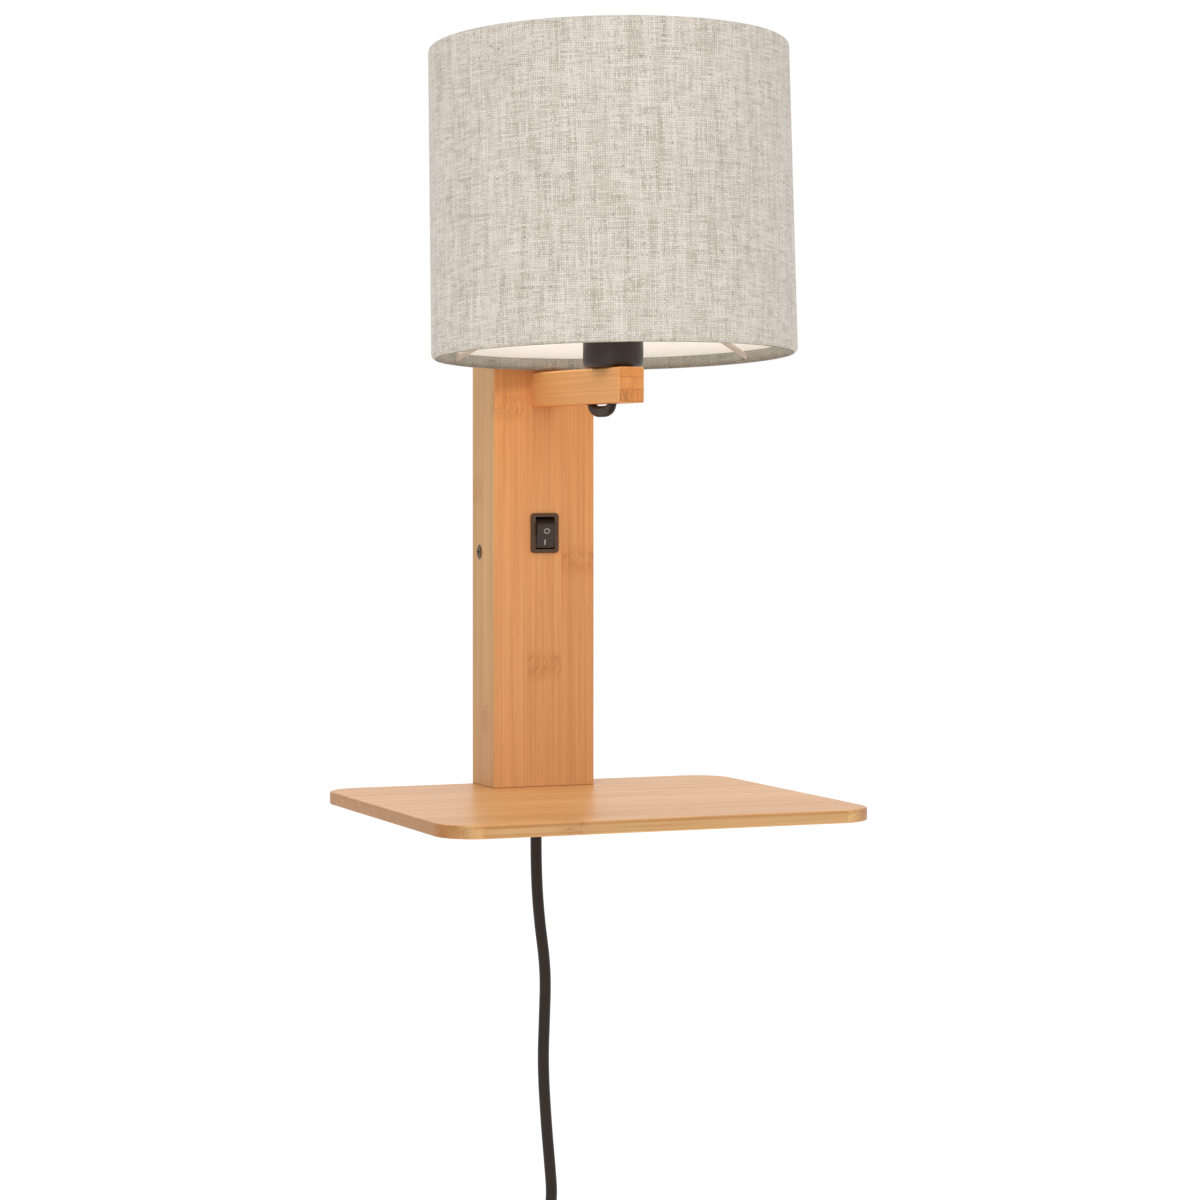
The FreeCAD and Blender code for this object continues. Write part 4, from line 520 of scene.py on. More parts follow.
def woven_linen(name, thread, gap):
    """Natural linen in plain weave, stuck to the shade's frame.

    Threads pass over and under each other, each with a tone of its own, thick slubs and dark gaps. Real
    ones are about 0.6 mm apart, and are drawn at the spacing in the panel so that they show.
    """
    cloth = bpy.context.scene.wall_lamp_cloth
    made, tree = blank_finish(name)
    spots = put(tree, "UVMap", uv_map="cloth")
    around, upward = put(tree, "SeparateXYZ", [spots]).outputs[:2]
    # Each thread wanders a little, and is thicker and thinner along its length.
    stray = put(tree, "TexNoise", {"Vector": spots, "Scale": 70.0, "Detail": 3.0})
    stray = put(tree, "Math", [stray, 1.6, -0.8], operation="MULTIPLY_ADD")

    def threads(side):
        """The threads that lie side by side that way: which one it is, and its round back."""
        at = put(tree, "Math", [side, cloth.pitch], operation="DIVIDE")
        at = put(tree, "Math", [at, stray], operation="ADD")
        back = put(tree, "Math", [at, math.pi], operation="MULTIPLY")
        back = put(tree, "Math", [back], operation="SINE")
        return put(tree, "Math", [at], operation="FLOOR"), put(tree, "Math", [back], operation="ABSOLUTE")

    def stretched(first, first_scale, second, second_scale, place, detail):
        """Noise with a scale of its own along each of two measures, in a place of its own."""
        first = put(tree, "Math", [first, first_scale], operation="MULTIPLY")
        second = put(tree, "Math", [second, second_scale], operation="MULTIPLY")
        at = put(tree, "CombineXYZ", [first, second, place])
        return put(tree, "TexNoise", {"Vector": at, "Scale": 1.0, "Detail": detail})

    warp_no, warp = threads(around)
    weft_no, weft = threads(upward)
    over = put(tree, "Math", [warp_no, weft_no], operation="ADD")
    over = put(tree, "Math", [over, 2.0], operation="FLOORED_MODULO")
    weave = put(tree, "Mix", {"Factor": over, "A": warp, "B": weft}, data_type="FLOAT")
    upright = stretched(warp_no, 7.31, upward, 38.0, 1.0, 1.0)
    lying = stretched(weft_no, 7.31, around, 80.0, 9.0, 1.0)
    both = put(tree, "Math", [upright, lying], operation="ADD")
    both = put(tree, "Math", [both, 0.5], operation="MULTIPLY")
    top = put(tree, "Mix", {"Factor": over, "A": upright, "B": lying}, data_type="FLOAT")
    # Bands of heavier and lighter warp stand upright, a centimetre or so across.
    column = stretched(around, 130.0, upward, 14.0, 4.0, 3.0)
    both = put(tree, "Math", [both, 0.5], operation="MULTIPLY")
    both = put(tree, "Math", [column, 0.5, both], operation="MULTIPLY_ADD")
    top = put(tree, "Math", [top, 0.55], operation="MULTIPLY")
    mixed = put(tree, "Math", [both, 0.45, top], operation="MULTIPLY_ADD")
    weave = put(tree, "Math", [weave, 0.5], operation="MULTIPLY")
    height = put(tree, "Math", [mixed, 1.6, weave], operation="MULTIPLY_ADD")
    raised = put(tree, "MapRange", {"Value": height, "From Min": 0.5, "From Max": 1.35})
    # Darker yarn shows as strokes, a millimetre wide and four to eight long, upright and lying.
    strokes = []
    for place, around_scale, upward_scale in ((20.0, 1150.0, 170.0), (21.0, 170.0, 1150.0)):
        stroke = stretched(around, around_scale, upward, upward_scale, place, 2.0)
        strokes.append(put(
            tree, "MapRange", {"Value": stroke, "From Min": 0.56, "From Max": 0.7, "To Max": 0.32},
            interpolation_type="SMOOTHSTEP",
        ))
    stroke = put(tree, "Math", strokes, operation="MAXIMUM")
    # Dark specks of stalk are caught in the yarn every centimetre or so.
    speck = put(tree, "TexNoise", {"Vector": spots, "Scale": 420.0, "Detail": 2.0})
    speck = put(
        tree, "MapRange", {"Value": speck, "From Min": 0.66, "From Max": 0.74, "To Max": 0.55},
        interpolation_type="SMOOTHSTEP",
    )
    tint = put(tree, "Mix", {"Factor": raised, "A": opaque(gap), "B": opaque(thread)}, data_type="RGBA")
    tint = put(tree, "Mix", {"Factor": stroke, "A": tint, "B": opaque(gap, 0.55)}, data_type="RGBA")
    # The undyed yarn is a little yellower in some places and pinker in others.
    hue = clouded(tree, spots, 38.0, 2.0, (1.0, 0.985, 0.95, 1), (1.0, 0.97, 0.975, 1))[1]
    tint = put(tree, "Mix", {"Factor": 1.0, "A": tint, "B": hue}, data_type="RGBA", blend_type="MULTIPLY")
    tint = put(tree, "Mix", {"Factor": speck, "A": tint, "B": opaque(linear("6f6355"))}, data_type="RGBA")
    relief = put(tree, "Bump", {"Strength": 0.35, "Distance": 0.00025, "Height": height})
    return finished(made, {
        "Base Color": tint, "Roughness": 0.88, "Normal": relief, "Sheen Weight": 0.12, "Sheen Roughness": 0.5,
    })


def coated_lining():
    """Smooth white sheet, bonded to thin cotton: nearly plain, with a whisper of weave and soft clouds."""
    white = bpy.context.scene.wall_lamp_cloth.lining
    made, tree = blank_finish("coated_lining")
    spots = put(tree, "UVMap", uv_map="cloth")
    weave = put(
        tree, "TexWave", {"Vector": spots, "Scale": 700.0, "Distortion": 3.0}, bands_direction="DIAGONAL"
    )
    tint = clouded(tree, spots, 24.0, 3.0, opaque(white, 0.95), opaque(white))[1]
    relief = put(tree, "Bump", {"Strength": 0.12, "Distance": 0.00006, "Height": weave.outputs["Fac"]})
    return finished(made, {"Base Color": tint, "Roughness": 0.6, "Normal": relief})


def cord_sheath():
    """Extruded soft PVC: near black and satin, with a finely pebbled skin and a little dust."""
    rgb = bpy.context.scene.wall_lamp_fittings.sheath
    made, tree = blank_finish("cord_sheath")
    where = put(tree, "TexCoord").outputs["Object"]
    skin = put(tree, "TexNoise", {"Vector": where, "Scale": 1500.0, "Detail": 2.0})
    tint = clouded(tree, where, 55.0, 4.0, opaque(rgb, 0.8), opaque(rgb, 1.35))[1]
    relief = put(tree, "Bump", {"Strength": 0.25, "Distance": 0.00003, "Height": skin})
    return finished(made, {
        "Base Color": tint, "Roughness": 0.46, "Normal": relief, "Specular IOR Level": 0.22,
    })


def nothing_picked():
    """Leaves edit mode and deselects every object."""
    if bpy.context.object and bpy.context.object.mode != "OBJECT":
        bpy.ops.object.mode_set(mode="OBJECT")
    bpy.ops.object.select_all(action="DESELECT")


def edit_all():
    """Opens the piece in hand in edit mode, with all of it selected."""
    bpy.ops.object.mode_set(mode="EDIT")
    bpy.ops.mesh.select_all(action="SELECT")


def pick(kind, wanted):
    """In edit mode, selects the vertices, edges or faces of the piece that wanted says yes to."""
    bpy.ops.mesh.select_mode(type=kind)
    bpy.ops.mesh.select_all(action="DESELECT")
    mesh = bmesh.from_edit_mesh(bpy.context.object.data)
    parts = {"VERT": mesh.verts, "EDGE": mesh.edges, "FACE": mesh.faces}[kind]
    for part in parts:
        if wanted(part):
            part.select_set(True)
    mesh.select_flush_mode()
    bmesh.update_edit_mesh(bpy.context.object.data)


def level(edge, height):
    """Whether an edge lies flat at that height, to a hundredth of a millimetre."""
    return all(abs(corner.co.z - height) < 0.01 * MM for corner in edge.verts)


def extrude(x, y, z):
    """Extrudes what is selected by that much."""
    bpy.ops.mesh.extrude_region_move(
        MESH_OT_extrude_region={}, TRANSFORM_OT_translate={"value": (x, y, z)}
    )


def resize(x, y, z):
    """Stretches what is selected by those factors, from the piece's own middle."""
    bpy.ops.transform.resize(value=(x, y, z), center_override=(0, 0, 0))


def face_out():
    """Turns all faces of the piece outwards and leaves edit mode."""
    bpy.ops.mesh.select_all(action="SELECT")
    bpy.ops.mesh.normals_make_consistent(inside=False)
    bpy.ops.object.mode_set(mode="OBJECT")


def thicken(thickness, offset):
    """Gives the piece in hand a wall, inwards where offset is -1 and outwards where it is 1."""
    modifier = bpy.context.object.modifiers.new("Wall", "SOLIDIFY")
    modifier.thickness, modifier.offset = thickness, offset
    bpy.ops.object.modifier_apply(modifier=modifier.name)


def done(name, body, material, replaced=(), smooth=38):
    """Places the piece in hand for good, and gives it its name, finish and body."""
    piece = bpy.context.object
    bpy.ops.object.mode_set(mode="OBJECT")
    nothing_picked()
    piece.select_set(True)
    bpy.context.view_layer.objects.active = piece
    bpy.ops.object.transform_apply(location=True, rotation=True, scale=True)
    bpy.ops.object.shade_smooth_by_angle(angle=math.radians(smooth))
    piece.name = piece.data.name = name
    piece.data.materials.clear()
    piece.data.materials.append(material)
    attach(piece, body)
    if replaced:
        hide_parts(*replaced)
    nothing_picked()
    return piece


def paint(material, *nodes):
    """Gives CAD nodes their material."""
    for name in nodes:
        for slot in NODES[name].material_slots:
            slot.material = material


def in_shade(point):
    """A point as the shade has it when it stands upright, from the middle of its fitter ring."""
    return Matrix.Rotation(-SHADE_LEAN, 3, "X") @ (point - SHADE_AT)


def unrolled(piece, radius):
    """Gives a shade cloth its UV map in metres: round it from a seam at the back, and up it."""
    layer = piece.data.uv_layers.new(name="cloth")
    for face in piece.data.polygons:
        turns = []
        for loop in face.loop_indices:
            at = in_shade(piece.data.vertices[piece.data.loops[loop].vertex_index].co)
            # Half a turn either side of the front, so that the seam is behind.
            turns.append((loop, math.atan2(at.x, -at.y), at.z))
        middle = turns[0][1]
        for loop, turn, height in turns:
            turn += 2 * math.pi * round((middle - turn) / (2 * math.pi))
            layer.data[loop].uv = (turn * radius, height)


def cord_along(name, points, sheath, radius, steps, facets, flat=0.0):
    """A cord with its ends closed, along a smooth line that is led by the points.

    Its section is round, or drawn out sideways by flat to each side.
    """
    line = bpy.data.curves.new(name, "CURVE")
    line.dimensions = "3D"
    spline = line.splines.new("NURBS")
    spline.points.add(len(points) - 1)
    for spot, at in zip(spline.points, points):
        spot.co = (*at, 1)
    spline.order_u = 3
    spline.use_endpoint_u = True
    spline.resolution_u = steps
    line.bevel_depth = radius
    line.extrude = flat
    line.bevel_resolution = facets
    line.use_fill_caps = True
    line.materials.append(sheath)
    cord = bpy.data.objects.new(name, line)
    bpy.context.scene.collection.objects.link(cord)
    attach(cord, "lamp")
    return cord


def seen_straight(tree):
    """1 for what the camera, metal and glass see, and 0 for what only lights other things."""
    seen = put(tree, "LightPath").outputs
    straight = put(tree, "Math", [seen["Is Camera Ray"], seen["Is Glossy Ray"]], operation="MAXIMUM")
    return put(tree, "Math", [straight, seen["Is Transmission Ray"]], operation="MAXIMUM")


class WALLLAMP_OT_boards(bpy.types.Operator):
    """Finish the post, shelf, arm and blocks in laminated bamboo"""

    bl_idname = "wall_lamp.boards"
    bl_label = "Bamboo boards"

    def execute(self, context):
        wood = context.scene.wall_lamp_wood
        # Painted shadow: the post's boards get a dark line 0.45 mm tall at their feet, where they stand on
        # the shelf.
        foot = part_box("post_front_board")[0].z + 0.45 * MM
        # Painted light: the front board is cooler towards its foot, against the shelf's orange bounce, and
        # warmer towards its top, where the bulb's light falls.
        front = laminated_bamboo(
            "bamboo_front_board", "X", "Y", "Z", wood.front, wood.front_deep,
            [(0, 0.080), (1, -0.055), (2, -0.001)], start=-0.0285,
            cheek=(wood.side, wood.side_deep), foot=foot,
            painted_light_drift=((-0.13, (0.95, 1.07, 1.22, 1)), (0.057, (1.0, 0.955, 0.9, 1))),
        )
        paint(front, "post_front_board")
        side = laminated_bamboo(
            "bamboo_side_boards", "Y", "X", "Z", wood.side, wood.side_deep,
            [(-1, 0.036), (-2, -0.083)], start=0.004, foot=foot,
        )
        paint(side, "post_side_left", "post_side_right", "post_cap", "base_block", "arm_block")
        # The shelf's ends and the corners beside them are darkened further, partly as painted shade.
        shelf = laminated_bamboo(
            "bamboo_shelf", "Y", "Z", "X", wood.shelf, wood.shelf_deep,
            [(-10, -0.045)], start=-0.008, contrast=1.25, rough=0.24, end_grain_and_shade=0.5,
            cheek=(wood.shelf_edge, wood.shelf_edge_deep),
        )
        paint(shelf, "shelf")
        lowest = math.floor((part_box("arm")[0].z + wood.layer / 2) / wood.layer)
        # Painted light: the arm's sides take the lighter copy of its colour.
        arm = laminated_bamboo(
            "bamboo_arm", "X", "Z", "Y", wood.arm, wood.arm_deep, [], start=-0.0068,
            cheek=(wood.lit_arm_side, wood.lit_arm_side_deep), bundles=lowest,
        )
        paint(arm, "arm")
        return {"FINISHED"}


class WALLLAMP_OT_shade_cloth(bpy.types.Operator):
    """Make the shade's linen skin with its turned-in hems, and the lining inside it"""

    bl_idname = "wall_lamp.shade_cloth"
    bl_label = "Shade cloth"

    def execute(self, context):
        cloth = context.scene.wall_lamp_cloth
        self.skin(cloth)
        self.liner(cloth)
        return {"FINISHED"}

    def skin(self, cloth):
        """The linen: a drum whose rims are rolled over the ring wires and come back inside as hems."""
        low, high = SKIN_RADII
        # The roll's outer radius, and its depth at the upper rim, which is pressed a little flatter.
        roll, pressed = 2.575 * MM, 2.1 * MM
        foot, top = SHADE_LOW + roll, SHADE_HIGH - pressed
        self.drum(low, high, foot, top, (-15, 10, 36, 62, 90))
        steps = 8
        for way, radius, deep, rim in ((1, high, pressed, top), (-1, low, roll, foot)):
            pick("EDGE", lambda edge: level(edge, rim))
            here, out = 0, radius
            for step in range(1, steps + 1):
                turn = math.pi * step / steps
                next_out = radius - roll + roll * math.cos(turn)
                rise = deep * math.sin(turn)
                extrude(0, 0, way * (rise - here))
                resize(next_out / out, next_out / out, 1)
                here, out = rise, next_out
            # The hem comes back along the inside.
            extrude(0, 0, -way * (cloth.hem - deep))
        bpy.ops.mesh.select_all(action="SELECT")
        bpy.ops.mesh.remove_doubles(threshold=1e-6)
        linen = woven_linen("woven_linen", cloth.thread, cloth.gap)
        skin = self.hung("shade_linen_cloth", "linen", linen, cloth.skin, "shade_linen", low)

        # Painted shade: what is turned in over the rings is drawn darker, as in the rim's shadow.
        skin.data.materials.append(woven_linen("shaded_linen_hem", cloth.shaded_hem_thread, cloth.shaded_hem_gap))
        for face in skin.data.polygons:
            at = in_shade(face.center)
            outside = low + (high - low) * (at.z - SHADE_LOW) / (SHADE_HIGH - SHADE_LOW)
            if at.xy.length < outside - 1.6 * MM:
                face.material_index = 1

    def liner(self, cloth):
        """The lining: a plain drum inside the linen."""
        low, high = LINER_RADII
        self.drum(low, high, LINER_LOW, LINER_HIGH, (-10, 15, 41, 67, 92))
        liner = self.hung(
            "shade_lining_sheet", "lining", coated_lining(), cloth.liner, "shade_lining", 89 * MM
        )

    def drum(self, low, high, foot, top, cuts):
        """An open drum round the Z axis, narrower at its top, with edges round it at those heights."""
        middle = (foot + top) / 2
        nothing_picked()
        bpy.ops.mesh.primitive_cylinder_add(
            vertices=180, radius=low, depth=top - foot, end_fill_type="NOTHING", location=(0, 0, 0)
        )
        edit_all()
        bpy.ops.transform.translate(value=(0, 0, middle))
        pick("VERT", lambda corner: corner.co.z > middle)
        resize(high / low, high / low, 1)
        for height in cuts:
            bpy.ops.mesh.select_all(action="SELECT")
            bpy.ops.mesh.bisect(plane_co=(0, 0, height * MM), plane_no=(0, 0, 1))

    def hung(self, name, slot, material, thickness, replaced, radius):
        """Gives the drum in hand its thickness, and hangs and finishes it."""
        face_out()
        thicken(thickness, -1)
        bpy.context.object.location = SHADE_AT
        bpy.context.object.rotation_euler = (SHADE_LEAN, 0, 0)
        piece = done(name, "lamp", material, [replaced], smooth=60)
        unrolled(piece, radius)
        return piece


class WALLLAMP_OT_shade_frame(bpy.types.Operator):
    """Finish the shade's rings and spokes in powder-coated wire"""

    bl_idname = "wall_lamp.shade_frame"
    bl_label = "Shade frame"

    def execute(self, context):
        paint(coated_steel("powder_coated_wire", linear("cdbfae")), "shade_top_ring", "shade_spider")
        return {"FINISHED"}


class WALLLAMP_OT_holder(bpy.types.Operator):
    """Finish the lamp holder, its shade ring and the threaded nipple under it"""

    bl_idname = "wall_lamp.holder"
    bl_label = "Lamp holder"

    def execute(self, context):
        brown = context.scene.wall_lamp_fittings.holder
        phenolic = moulded("moulded_phenolic", brown, 0.32, 0.0005)
        paint(phenolic, "holder_shell", "shade_ring")
        self.cap(phenolic)
        paint(glazed_porcelain(), "holder_core")
        brass = worked_metal("rolled_brass", linear("cfa35a"), 0.34, (1, 1, 8))
        paint(brass, "holder_thread", "holder_contact", "switch_bridge", "switch_tabs", "terminal_screws")
        zinc = worked_metal("zinc_plated_steel", linear("b9babb"), 0.38, (3, 3, 3), grit=0.0009)
        paint(
            zinc, "nipple", "nipple_nut", "arm_screw", "bracket_nuts", "shelf_screws", "clamp_screws",
            "terminal_fixing",
        )
        return {"FINISHED"}

    def cap(self, material):
        """The holder's cup: a turned-looking moulding with a soft lower edge, hollow from above."""
        outer, wall, floor, hole = 15 * MM, 1.7 * MM, 3 * MM, 5.1 * MM
        box_low, box_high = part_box("holder_cap")
        tall = box_high.z - box_low.z
        nothing_picked()
        bpy.ops.mesh.primitive_cylinder_add(vertices=96, radius=outer, depth=tall, location=(0, 0, 0))
        bpy.ops.object.mode_set(mode="EDIT")
        pick("FACE", lambda face: face.normal.z > 0.9)
        bpy.ops.mesh.inset(thickness=wall)
        extrude(0, 0, floor - tall)
        # The nipple comes up through a hole in the cup's floor.
        pick("FACE", lambda face: face.normal.z > 0.9 and face.calc_center_median().z < 0)
        bpy.ops.mesh.inset(thickness=outer - wall - hole)
        bpy.ops.mesh.delete(type="FACE")
        pick("FACE", lambda face: face.normal.z < -0.9)
        bpy.ops.mesh.inset(thickness=outer - hole)
        bpy.ops.mesh.delete(type="FACE")
        pick("EDGE", lambda edge: edge.is_boundary)
        bpy.ops.mesh.bridge_edge_loops()
        pick("EDGE", lambda edge: level(edge, -tall / 2) and edge.verts[0].co.xy.length > 14 * MM)
        bpy.ops.mesh.bevel(offset=2.6 * MM, segments=6, affect="EDGES")
        pick("EDGE", lambda edge: level(edge, tall / 2))
        bpy.ops.mesh.bevel(offset=0.3 * MM, segments=2, affect="EDGES")
        face_out()
        bpy.context.object.location = (box_low + box_high) / 2
        done("holder_cup", "lamp", material, ["holder_cap"], smooth=30)


class WALLLAMP_OT_bulb(bpy.types.Operator):
    """Finish the bulb in frosted glass and aluminium"""

    bl_idname = "wall_lamp.bulb"
    bl_label = "Bulb"

    def execute(self, context):
        paint(frosted_glass(), "bulb_glass")
        # Thin frosted glass lets the light inside it out.
        NODES["bulb_glass"].visible_shadow = False
        aluminium = worked_metal("pressed_aluminium", linear("c4c5c4"), 0.33, (1, 1, 5))
        paint(aluminium, "bulb_cap", "bulb_tip")
        return {"FINISHED"}


class WALLLAMP_OT_switch(bpy.types.Operator):
    """Finish the switch, and print the two marks on its rocker"""

    bl_idname = "wall_lamp.switch"
    bl_label = "Switch"

    def execute(self, context):
        fittings = context.scene.wall_lamp_fittings
        paint(moulded("moulded_bezel", fittings.bezel, 0.42, 0.0006), "switch_housing")
        paint(moulded("moulded_rocker", fittings.rocker, 0.36, 0.0006), "switch_rocker")
        ink = moulded("pad_printed_mark", fittings.mark, 0.5, 0.0003)

        # The O stands on the upper half, printed flat on the rocker's face.
        nothing_picked()
        bpy.ops.mesh.primitive_torus_add(
            major_radius=1.5 * MM, minor_radius=0.3 * MM, major_segments=40, minor_segments=10,
            rotation=(math.radians(90), 0, 0),
        )
        edit_all()
        resize(0.94, 0.16, 0.78)
        bpy.ops.object.mode_set(mode="OBJECT")
        self.onto_rocker(context.object, 0.25, 2.8)
        done("switch_mark_off", "rocker", ink)

        # The I stands on the lower half.
        nothing_picked()
        bpy.ops.mesh.primitive_cube_add(size=1)
        edit_all()
        resize(0.7 * MM, 0.12 * MM, 2.8 * MM)
        pick("EDGE", lambda edge: abs((edge.verts[0].co - edge.verts[1].co).y) > 0.05 * MM)
        bpy.ops.mesh.bevel(offset=0.15 * MM, segments=3, affect="EDGES")
        bpy.ops.object.mode_set(mode="OBJECT")
        self.onto_rocker(context.object, -0.35, -3.1)
        done("switch_mark_on", "rocker", ink)
        return {"FINISHED"}

    def onto_rocker(self, mark, right, height):
        """Stands a mark on the rocker's tipped face, so many millimetres right of its middle and up it."""
        on_face = Matrix.Translation(Vector((right, -ROCKER_FACE, height)) * MM)
        stand = Matrix.Translation(ROCKER_AT) @ Matrix.Rotation(ROCKER_TIP, 4, "X") @ on_face
        mark.matrix_world = stand @ mark.matrix_world


class WALLLAMP_OT_fixings(bpy.types.Operator):
    """Finish the wall bracket, the side screws, the terminal block, the clamp and the inner wires"""

    bl_idname = "wall_lamp.fixings"
    bl_label = "Bracket, screws and wiring"

    def execute(self, context):
        bronze = context.scene.wall_lamp_fittings.screw
        paint(worked_metal("bronzed_steel", bronze, 0.36, (2, 2, 2), grit=0.0006), "side_screws")
        paint(coated_steel("black_coated_steel", linear("3a3a3a"), 0.5), "wall_bracket")
        white = moulded("moulded_polyamide_white", linear("e4e3dd"), 0.45, 0.0006)
        paint(white, "cord_clamp", "terminal_block", "switch_plunger")
        paint(moulded("moulded_polyamide_black", linear("2e2926"), 0.46, 0.0006), "cord_gland")
        brown = moulded("wire_skin_brown", linear("6a4026"), 0.5, 0.0008)
        paint(brown, "wire_mains_live", "wire_switch_feed", "wire_lamp_live")
        blue = moulded("wire_skin_blue", linear("2f5fa8"), 0.5, 0.0008)
        paint(blue, "wire_mains_neutral", "wire_lamp_neutral")
        return {"FINISHED"}


class WALLLAMP_OT_cord(bpy.types.Operator):
    """Hang the mains cord from its gland, coil what the picture doesn't show, and end it in its plug"""

    bl_idname = "wall_lamp.cord"
    bl_label = "Cord, tie and plug"

    def execute(self, context):
        fittings = context.scene.wall_lamp_fittings
        sheath = cord_sheath()
        paint(sheath, "cord_inner")
        self.flex(sheath)
        tie = self.tie(moulded("moulded_tie", linear("24211f"), 0.4, 0.0006))
        plug = self.plug(moulded("moulded_plug", fittings.sheath, 0.44, 0.0007))
        sleeves = self.sleeves(moulded("pin_sleeve", linear("232020"), 0.4, 0.0006))
        paint(worked_metal("nickel_plated_brass", linear("cfcdc7"), 0.2, (1, 1, 6)), "plug_pins")

        points = [Vector(point) * MM for point in CORD_HANGS]
        points += self.coil(fittings.coil_ring)
        points += [Vector(point) * MM for point in CORD_TO_PLUG]
        cord = cord_along("mains_cord_run", points, sheath, fittings.cord_wide / 2, steps=5, facets=5)
        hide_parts("mains_cord", "cord_coil", "cord_end")
        return {"FINISHED"}

    def flex(self, sheath):
        """The flat lamp flex: up the post, along the arm, in a small loop below it and into the holder."""
        points = [Vector((0, out, up)) * MM for out, up in FLEX_RUN]
        # It is 5.6 mm across and 3.8 mm thick.
        flex = cord_along("lamp_flex_run", points, sheath, 1.9 * MM, steps=8, facets=4, flat=0.9 * MM)
        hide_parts("lamp_flex")

    def coil(self, ring):
        """The coil's points, with each turn in its own place in the bundle."""
        first, last = COIL_ANGLES
        count = round((last - first) * COIL_POINTS / 360)
        spots = []
        for n in range(count + 1):
            angle = first + (last - first) * n / count
            out, back = COIL_PLACES[0]
            for change, here, there in zip(COIL_CHANGES, COIL_PLACES, COIL_PLACES[1:]):
                moved = min(1, max(0, (angle - change) / COIL_CROSSING))
                moved *= moved * (3 - 2 * moved)
                out += (there[0] - here[0]) * moved
                back += (there[1] - here[1]) * moved
            # A cord wound by hand wavers by half a millimetre.
            out += 0.5 * math.sin(math.radians(angle * 0.37 + 20))
            # A smooth curve runs inside its points, so that they stand a fortieth further out.
            reach = (ring + out * MM) / 0.975
            turn = math.radians(angle)
            off_middle = Vector((reach * math.cos(turn), back * MM, reach * math.sin(turn)))
            spots.append(COIL_MIDDLE + off_middle)
        spots[0] = COIL_ENTRY
        return spots

    def tie(self, material):
        """A plastic strap round the coil, with its lock."""
        radius, thick = 10 * MM, 1.1 * MM
        nothing_picked()
        bpy.ops.mesh.primitive_cylinder_add(
            vertices=64, radius=radius, depth=3.4 * MM, end_fill_type="NOTHING", location=(0, 0, 0)
        )
        thicken(thick, 1)
        bpy.ops.object.mode_set(mode="EDIT")
        # The lock grows out of the strap on its outer side, wider than the strap, with a dent in its face.
        outside = radius + thick / 2
        pick("FACE", lambda face: face.normal.x > 0.97 and face.calc_center_median().x > outside)
        extrude(0, 0, 0)
        resize(1, 1, 1.35)
        extrude(1.6 * MM, 0, 0)
        bpy.ops.mesh.inset(thickness=0.5 * MM, use_even_offset=True)
        extrude(-0.6 * MM, 0, 0)
        bpy.ops.mesh.select_all(action="SELECT")
        bpy.ops.mesh.remove_doubles(threshold=1e-6)
        bpy.ops.object.mode_set(mode="OBJECT")
        ring = bpy.context.scene.wall_lamp_fittings.coil_ring
        bpy.context.object.location = COIL_MIDDLE + Vector((ring, 0, 0))
        return done("coil_tie", "lamp", material, ["cord_tie"], smooth=30)

    def plug(self, material):
        """A flat moulded two-pin plug: rounded body, drawn-in shoulder, and a ribbed sleeve that bends."""
        wide, deep, tall = 25.4 * MM, 13.7 * MM, 34 * MM
        nothing_picked()
        bpy.ops.mesh.primitive_cube_add(size=1, location=(0, 0, 0))
        edit_all()
        resize(wide, deep, tall)
        pick("EDGE", lambda edge: abs(edge.verts[0].co.z - edge.verts[1].co.z) > tall / 2)
        bpy.ops.mesh.bevel(offset=6.2 * MM, segments=8, affect="EDGES")
        pick("FACE", lambda face: face.normal.z > 0.9)
        # The shoulder draws in, then the sleeve rises in rings, wide and narrow by turns.
        bpy.ops.mesh.inset(thickness=1.6 * MM)
        shoulder = [(1.4, 0.80, 0.9), (1.2, 0.72, 0.92), (1.0, 0.78, 0.95)]
        ring = [(1.3, 1.0, 1.0), (0.25, 0.86, 0.86), (0.65, 1.0, 1.0), (0.2, 1.1, 1.1)]
        for rise, across, through in shoulder + 5 * ring:
            extrude(0, 0, rise * MM)
            resize(across, through, 1)
        pick("EDGE", lambda edge: level(edge, -tall / 2))
        bpy.ops.mesh.bevel(offset=1.0 * MM, segments=3, affect="EDGES")
        bpy.ops.object.mode_set(mode="OBJECT")
        bpy.context.object.location = PLUG_TOP - Vector((0, 0, PLUG_DROP))
        return done("plug_moulding", "lamp", material, ["plug_body"], smooth=32)

    def sleeves(self, material):
        """The insulating sleeves at the roots of the plug's two pins."""
        made = []
        tall = 9.5 * MM
        for name, side in (("pin_sleeve_left", -1), ("pin_sleeve_right", 1)):
            nothing_picked()
            bpy.ops.mesh.primitive_cylinder_add(vertices=32, radius=2.08 * MM, depth=tall, location=(0, 0, 0))
            bpy.ops.object.mode_set(mode="EDIT")
            pick("EDGE", lambda edge: level(edge, -tall / 2))
            bpy.ops.mesh.bevel(offset=0.06 * MM, segments=2, affect="EDGES")
            bpy.ops.object.mode_set(mode="OBJECT")
            bpy.context.object.location = PLUG_TOP + Vector((side * PINS_APART / 2, 0, -SLEEVE_DROP))
            made.append(done(name, "lamp", material))
        return made


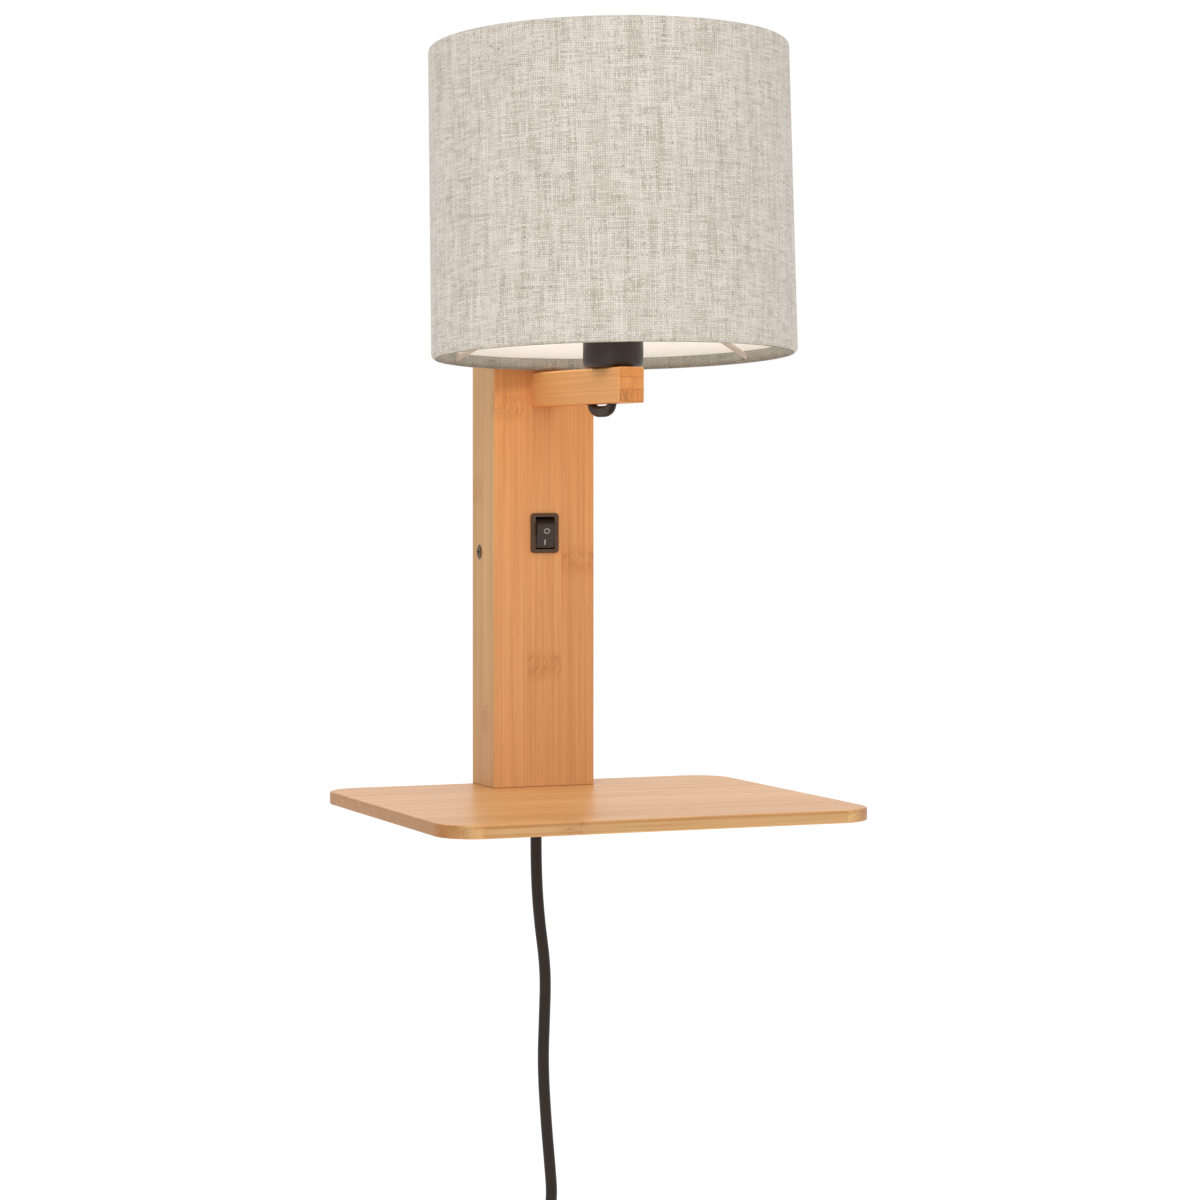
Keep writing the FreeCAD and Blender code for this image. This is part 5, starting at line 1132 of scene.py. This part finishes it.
class WALLLAMP_OT_stage(bpy.types.Operator):
    """Set the floor, the light and the camera"""

    bl_idname = "wall_lamp.stage"
    bl_label = "Floor, light and camera"

    def execute(self, context):
        settings = context.scene.wall_lamp_stage
        nothing_picked()
        bpy.ops.mesh.primitive_plane_add(size=12, location=(0, 0, FLOOR_HEIGHT))
        floor = context.object
        floor.name = floor.data.name = "floor"
        coat, tree = blank_finish("painted_floor")
        # What is seen straight of the floor is white, and still darkens in the shadow.
        lift = put(tree, "Math", [seen_straight(tree), 0.35], operation="MULTIPLY")
        floor.data.materials.append(finished(coat, {
            "Base Color": opaque(settings.floor), "Roughness": 0.8,
            "Emission Color": (1, 1, 1, 1), "Emission Strength": lift,
        }))

        world = bpy.data.worlds.new("plain_daylight")
        context.scene.world = world
        world.use_nodes = True
        tree = world.node_tree
        tree.nodes.clear()
        strength = {"Value": seen_straight(tree), "To Min": settings.daylight, "To Max": 1.0}
        strength = put(tree, "MapRange", strength)
        put(tree, "OutputWorld", [put(tree, "Background", {"Color": (1, 1, 1, 1), "Strength": strength})])

        for name, spot, size, share in LIGHTS:
            bpy.ops.object.light_add(type="AREA", location=spot)
            lamp = context.object
            lamp.name = lamp.data.name = name
            lamp.data.energy = settings.key * share
            lamp.data.size = size
            aim = LIGHTS_AIM - Vector(spot)
            lamp.rotation_euler = aim.to_track_quat("-Z", "Y").to_euler()

        # The bulb's own light, as dim as the photograph shows it, fills the shade and spills below.
        bpy.ops.object.light_add(type="POINT", location=GLOW_AT)
        glow = context.object
        glow.name = glow.data.name = "bulb_glow"
        glow.data.energy = settings.glow
        glow.data.color = linear("fffefc")
        glow.data.shadow_soft_size = 0.02

        bpy.ops.object.camera_add(location=CAMERA_AT, rotation=(math.radians(90), 0, CAMERA_TURN))
        camera = context.object
        camera.name = camera.data.name = "photo_camera"
        camera.data.sensor_width = 36
        camera.data.lens = settings.lens
        camera.data.shift_y = -FRAME_DOWN / FRAME_WIDE
        context.scene.camera = camera
        context.scene.view_settings.view_transform = "Standard"
        return {"FINISHED"}


class WALLLAMP_PT_sidebar(bpy.types.Panel):
    """The lamp's pieces, with their sizes and colours"""

    bl_idname = "WALLLAMP_PT_sidebar"
    bl_label = "Wall lamp with shelf"
    bl_space_type = "VIEW_3D"
    bl_region_type = "UI"
    bl_category = "Wall lamp"

    def draw(self, context):
        for step in STEPS:
            self.layout.operator(step.bl_idname)
        for settings in SETTINGS:
            group = getattr(context.scene, settings)
            box = self.layout.box()
            for name in group.bl_rna.properties.keys():
                if name not in ("rna_type", "name"):
                    box.prop(group, name)


SETTINGS = {
    "wall_lamp_wood": WALLLAMP_PG_wood,
    "wall_lamp_cloth": WALLLAMP_PG_cloth,
    "wall_lamp_fittings": WALLLAMP_PG_fittings,
    "wall_lamp_stage": WALLLAMP_PG_stage,
}
STEPS = (
    WALLLAMP_OT_stage,
    WALLLAMP_OT_cord,
    WALLLAMP_OT_boards,
    WALLLAMP_OT_shade_cloth,
    WALLLAMP_OT_shade_frame,
    WALLLAMP_OT_holder,
    WALLLAMP_OT_bulb,
    WALLLAMP_OT_switch,
    WALLLAMP_OT_fixings,
)


def register():
    for kind in (*SETTINGS.values(), *STEPS, WALLLAMP_PT_sidebar):
        bpy.utils.register_class(kind)
    for name, kind in SETTINGS.items():
        setattr(bpy.types.Scene, name, bpy.props.PointerProperty(type=kind))


def unregister():
    for name in SETTINGS:
        delattr(bpy.types.Scene, name)
    for kind in (WALLLAMP_PT_sidebar, *reversed(STEPS), *reversed(SETTINGS.values())):
        bpy.utils.unregister_class(kind)


def main():
    register()
    bpy.ops.wall_lamp.stage()
    bpy.ops.wall_lamp.cord()
    bpy.ops.wall_lamp.boards()
    bpy.ops.wall_lamp.shade_cloth()
    bpy.ops.wall_lamp.shade_frame()
    bpy.ops.wall_lamp.holder()
    bpy.ops.wall_lamp.bulb()
    bpy.ops.wall_lamp.switch()
    bpy.ops.wall_lamp.fixings()


if __name__ == "__main__":
    main()
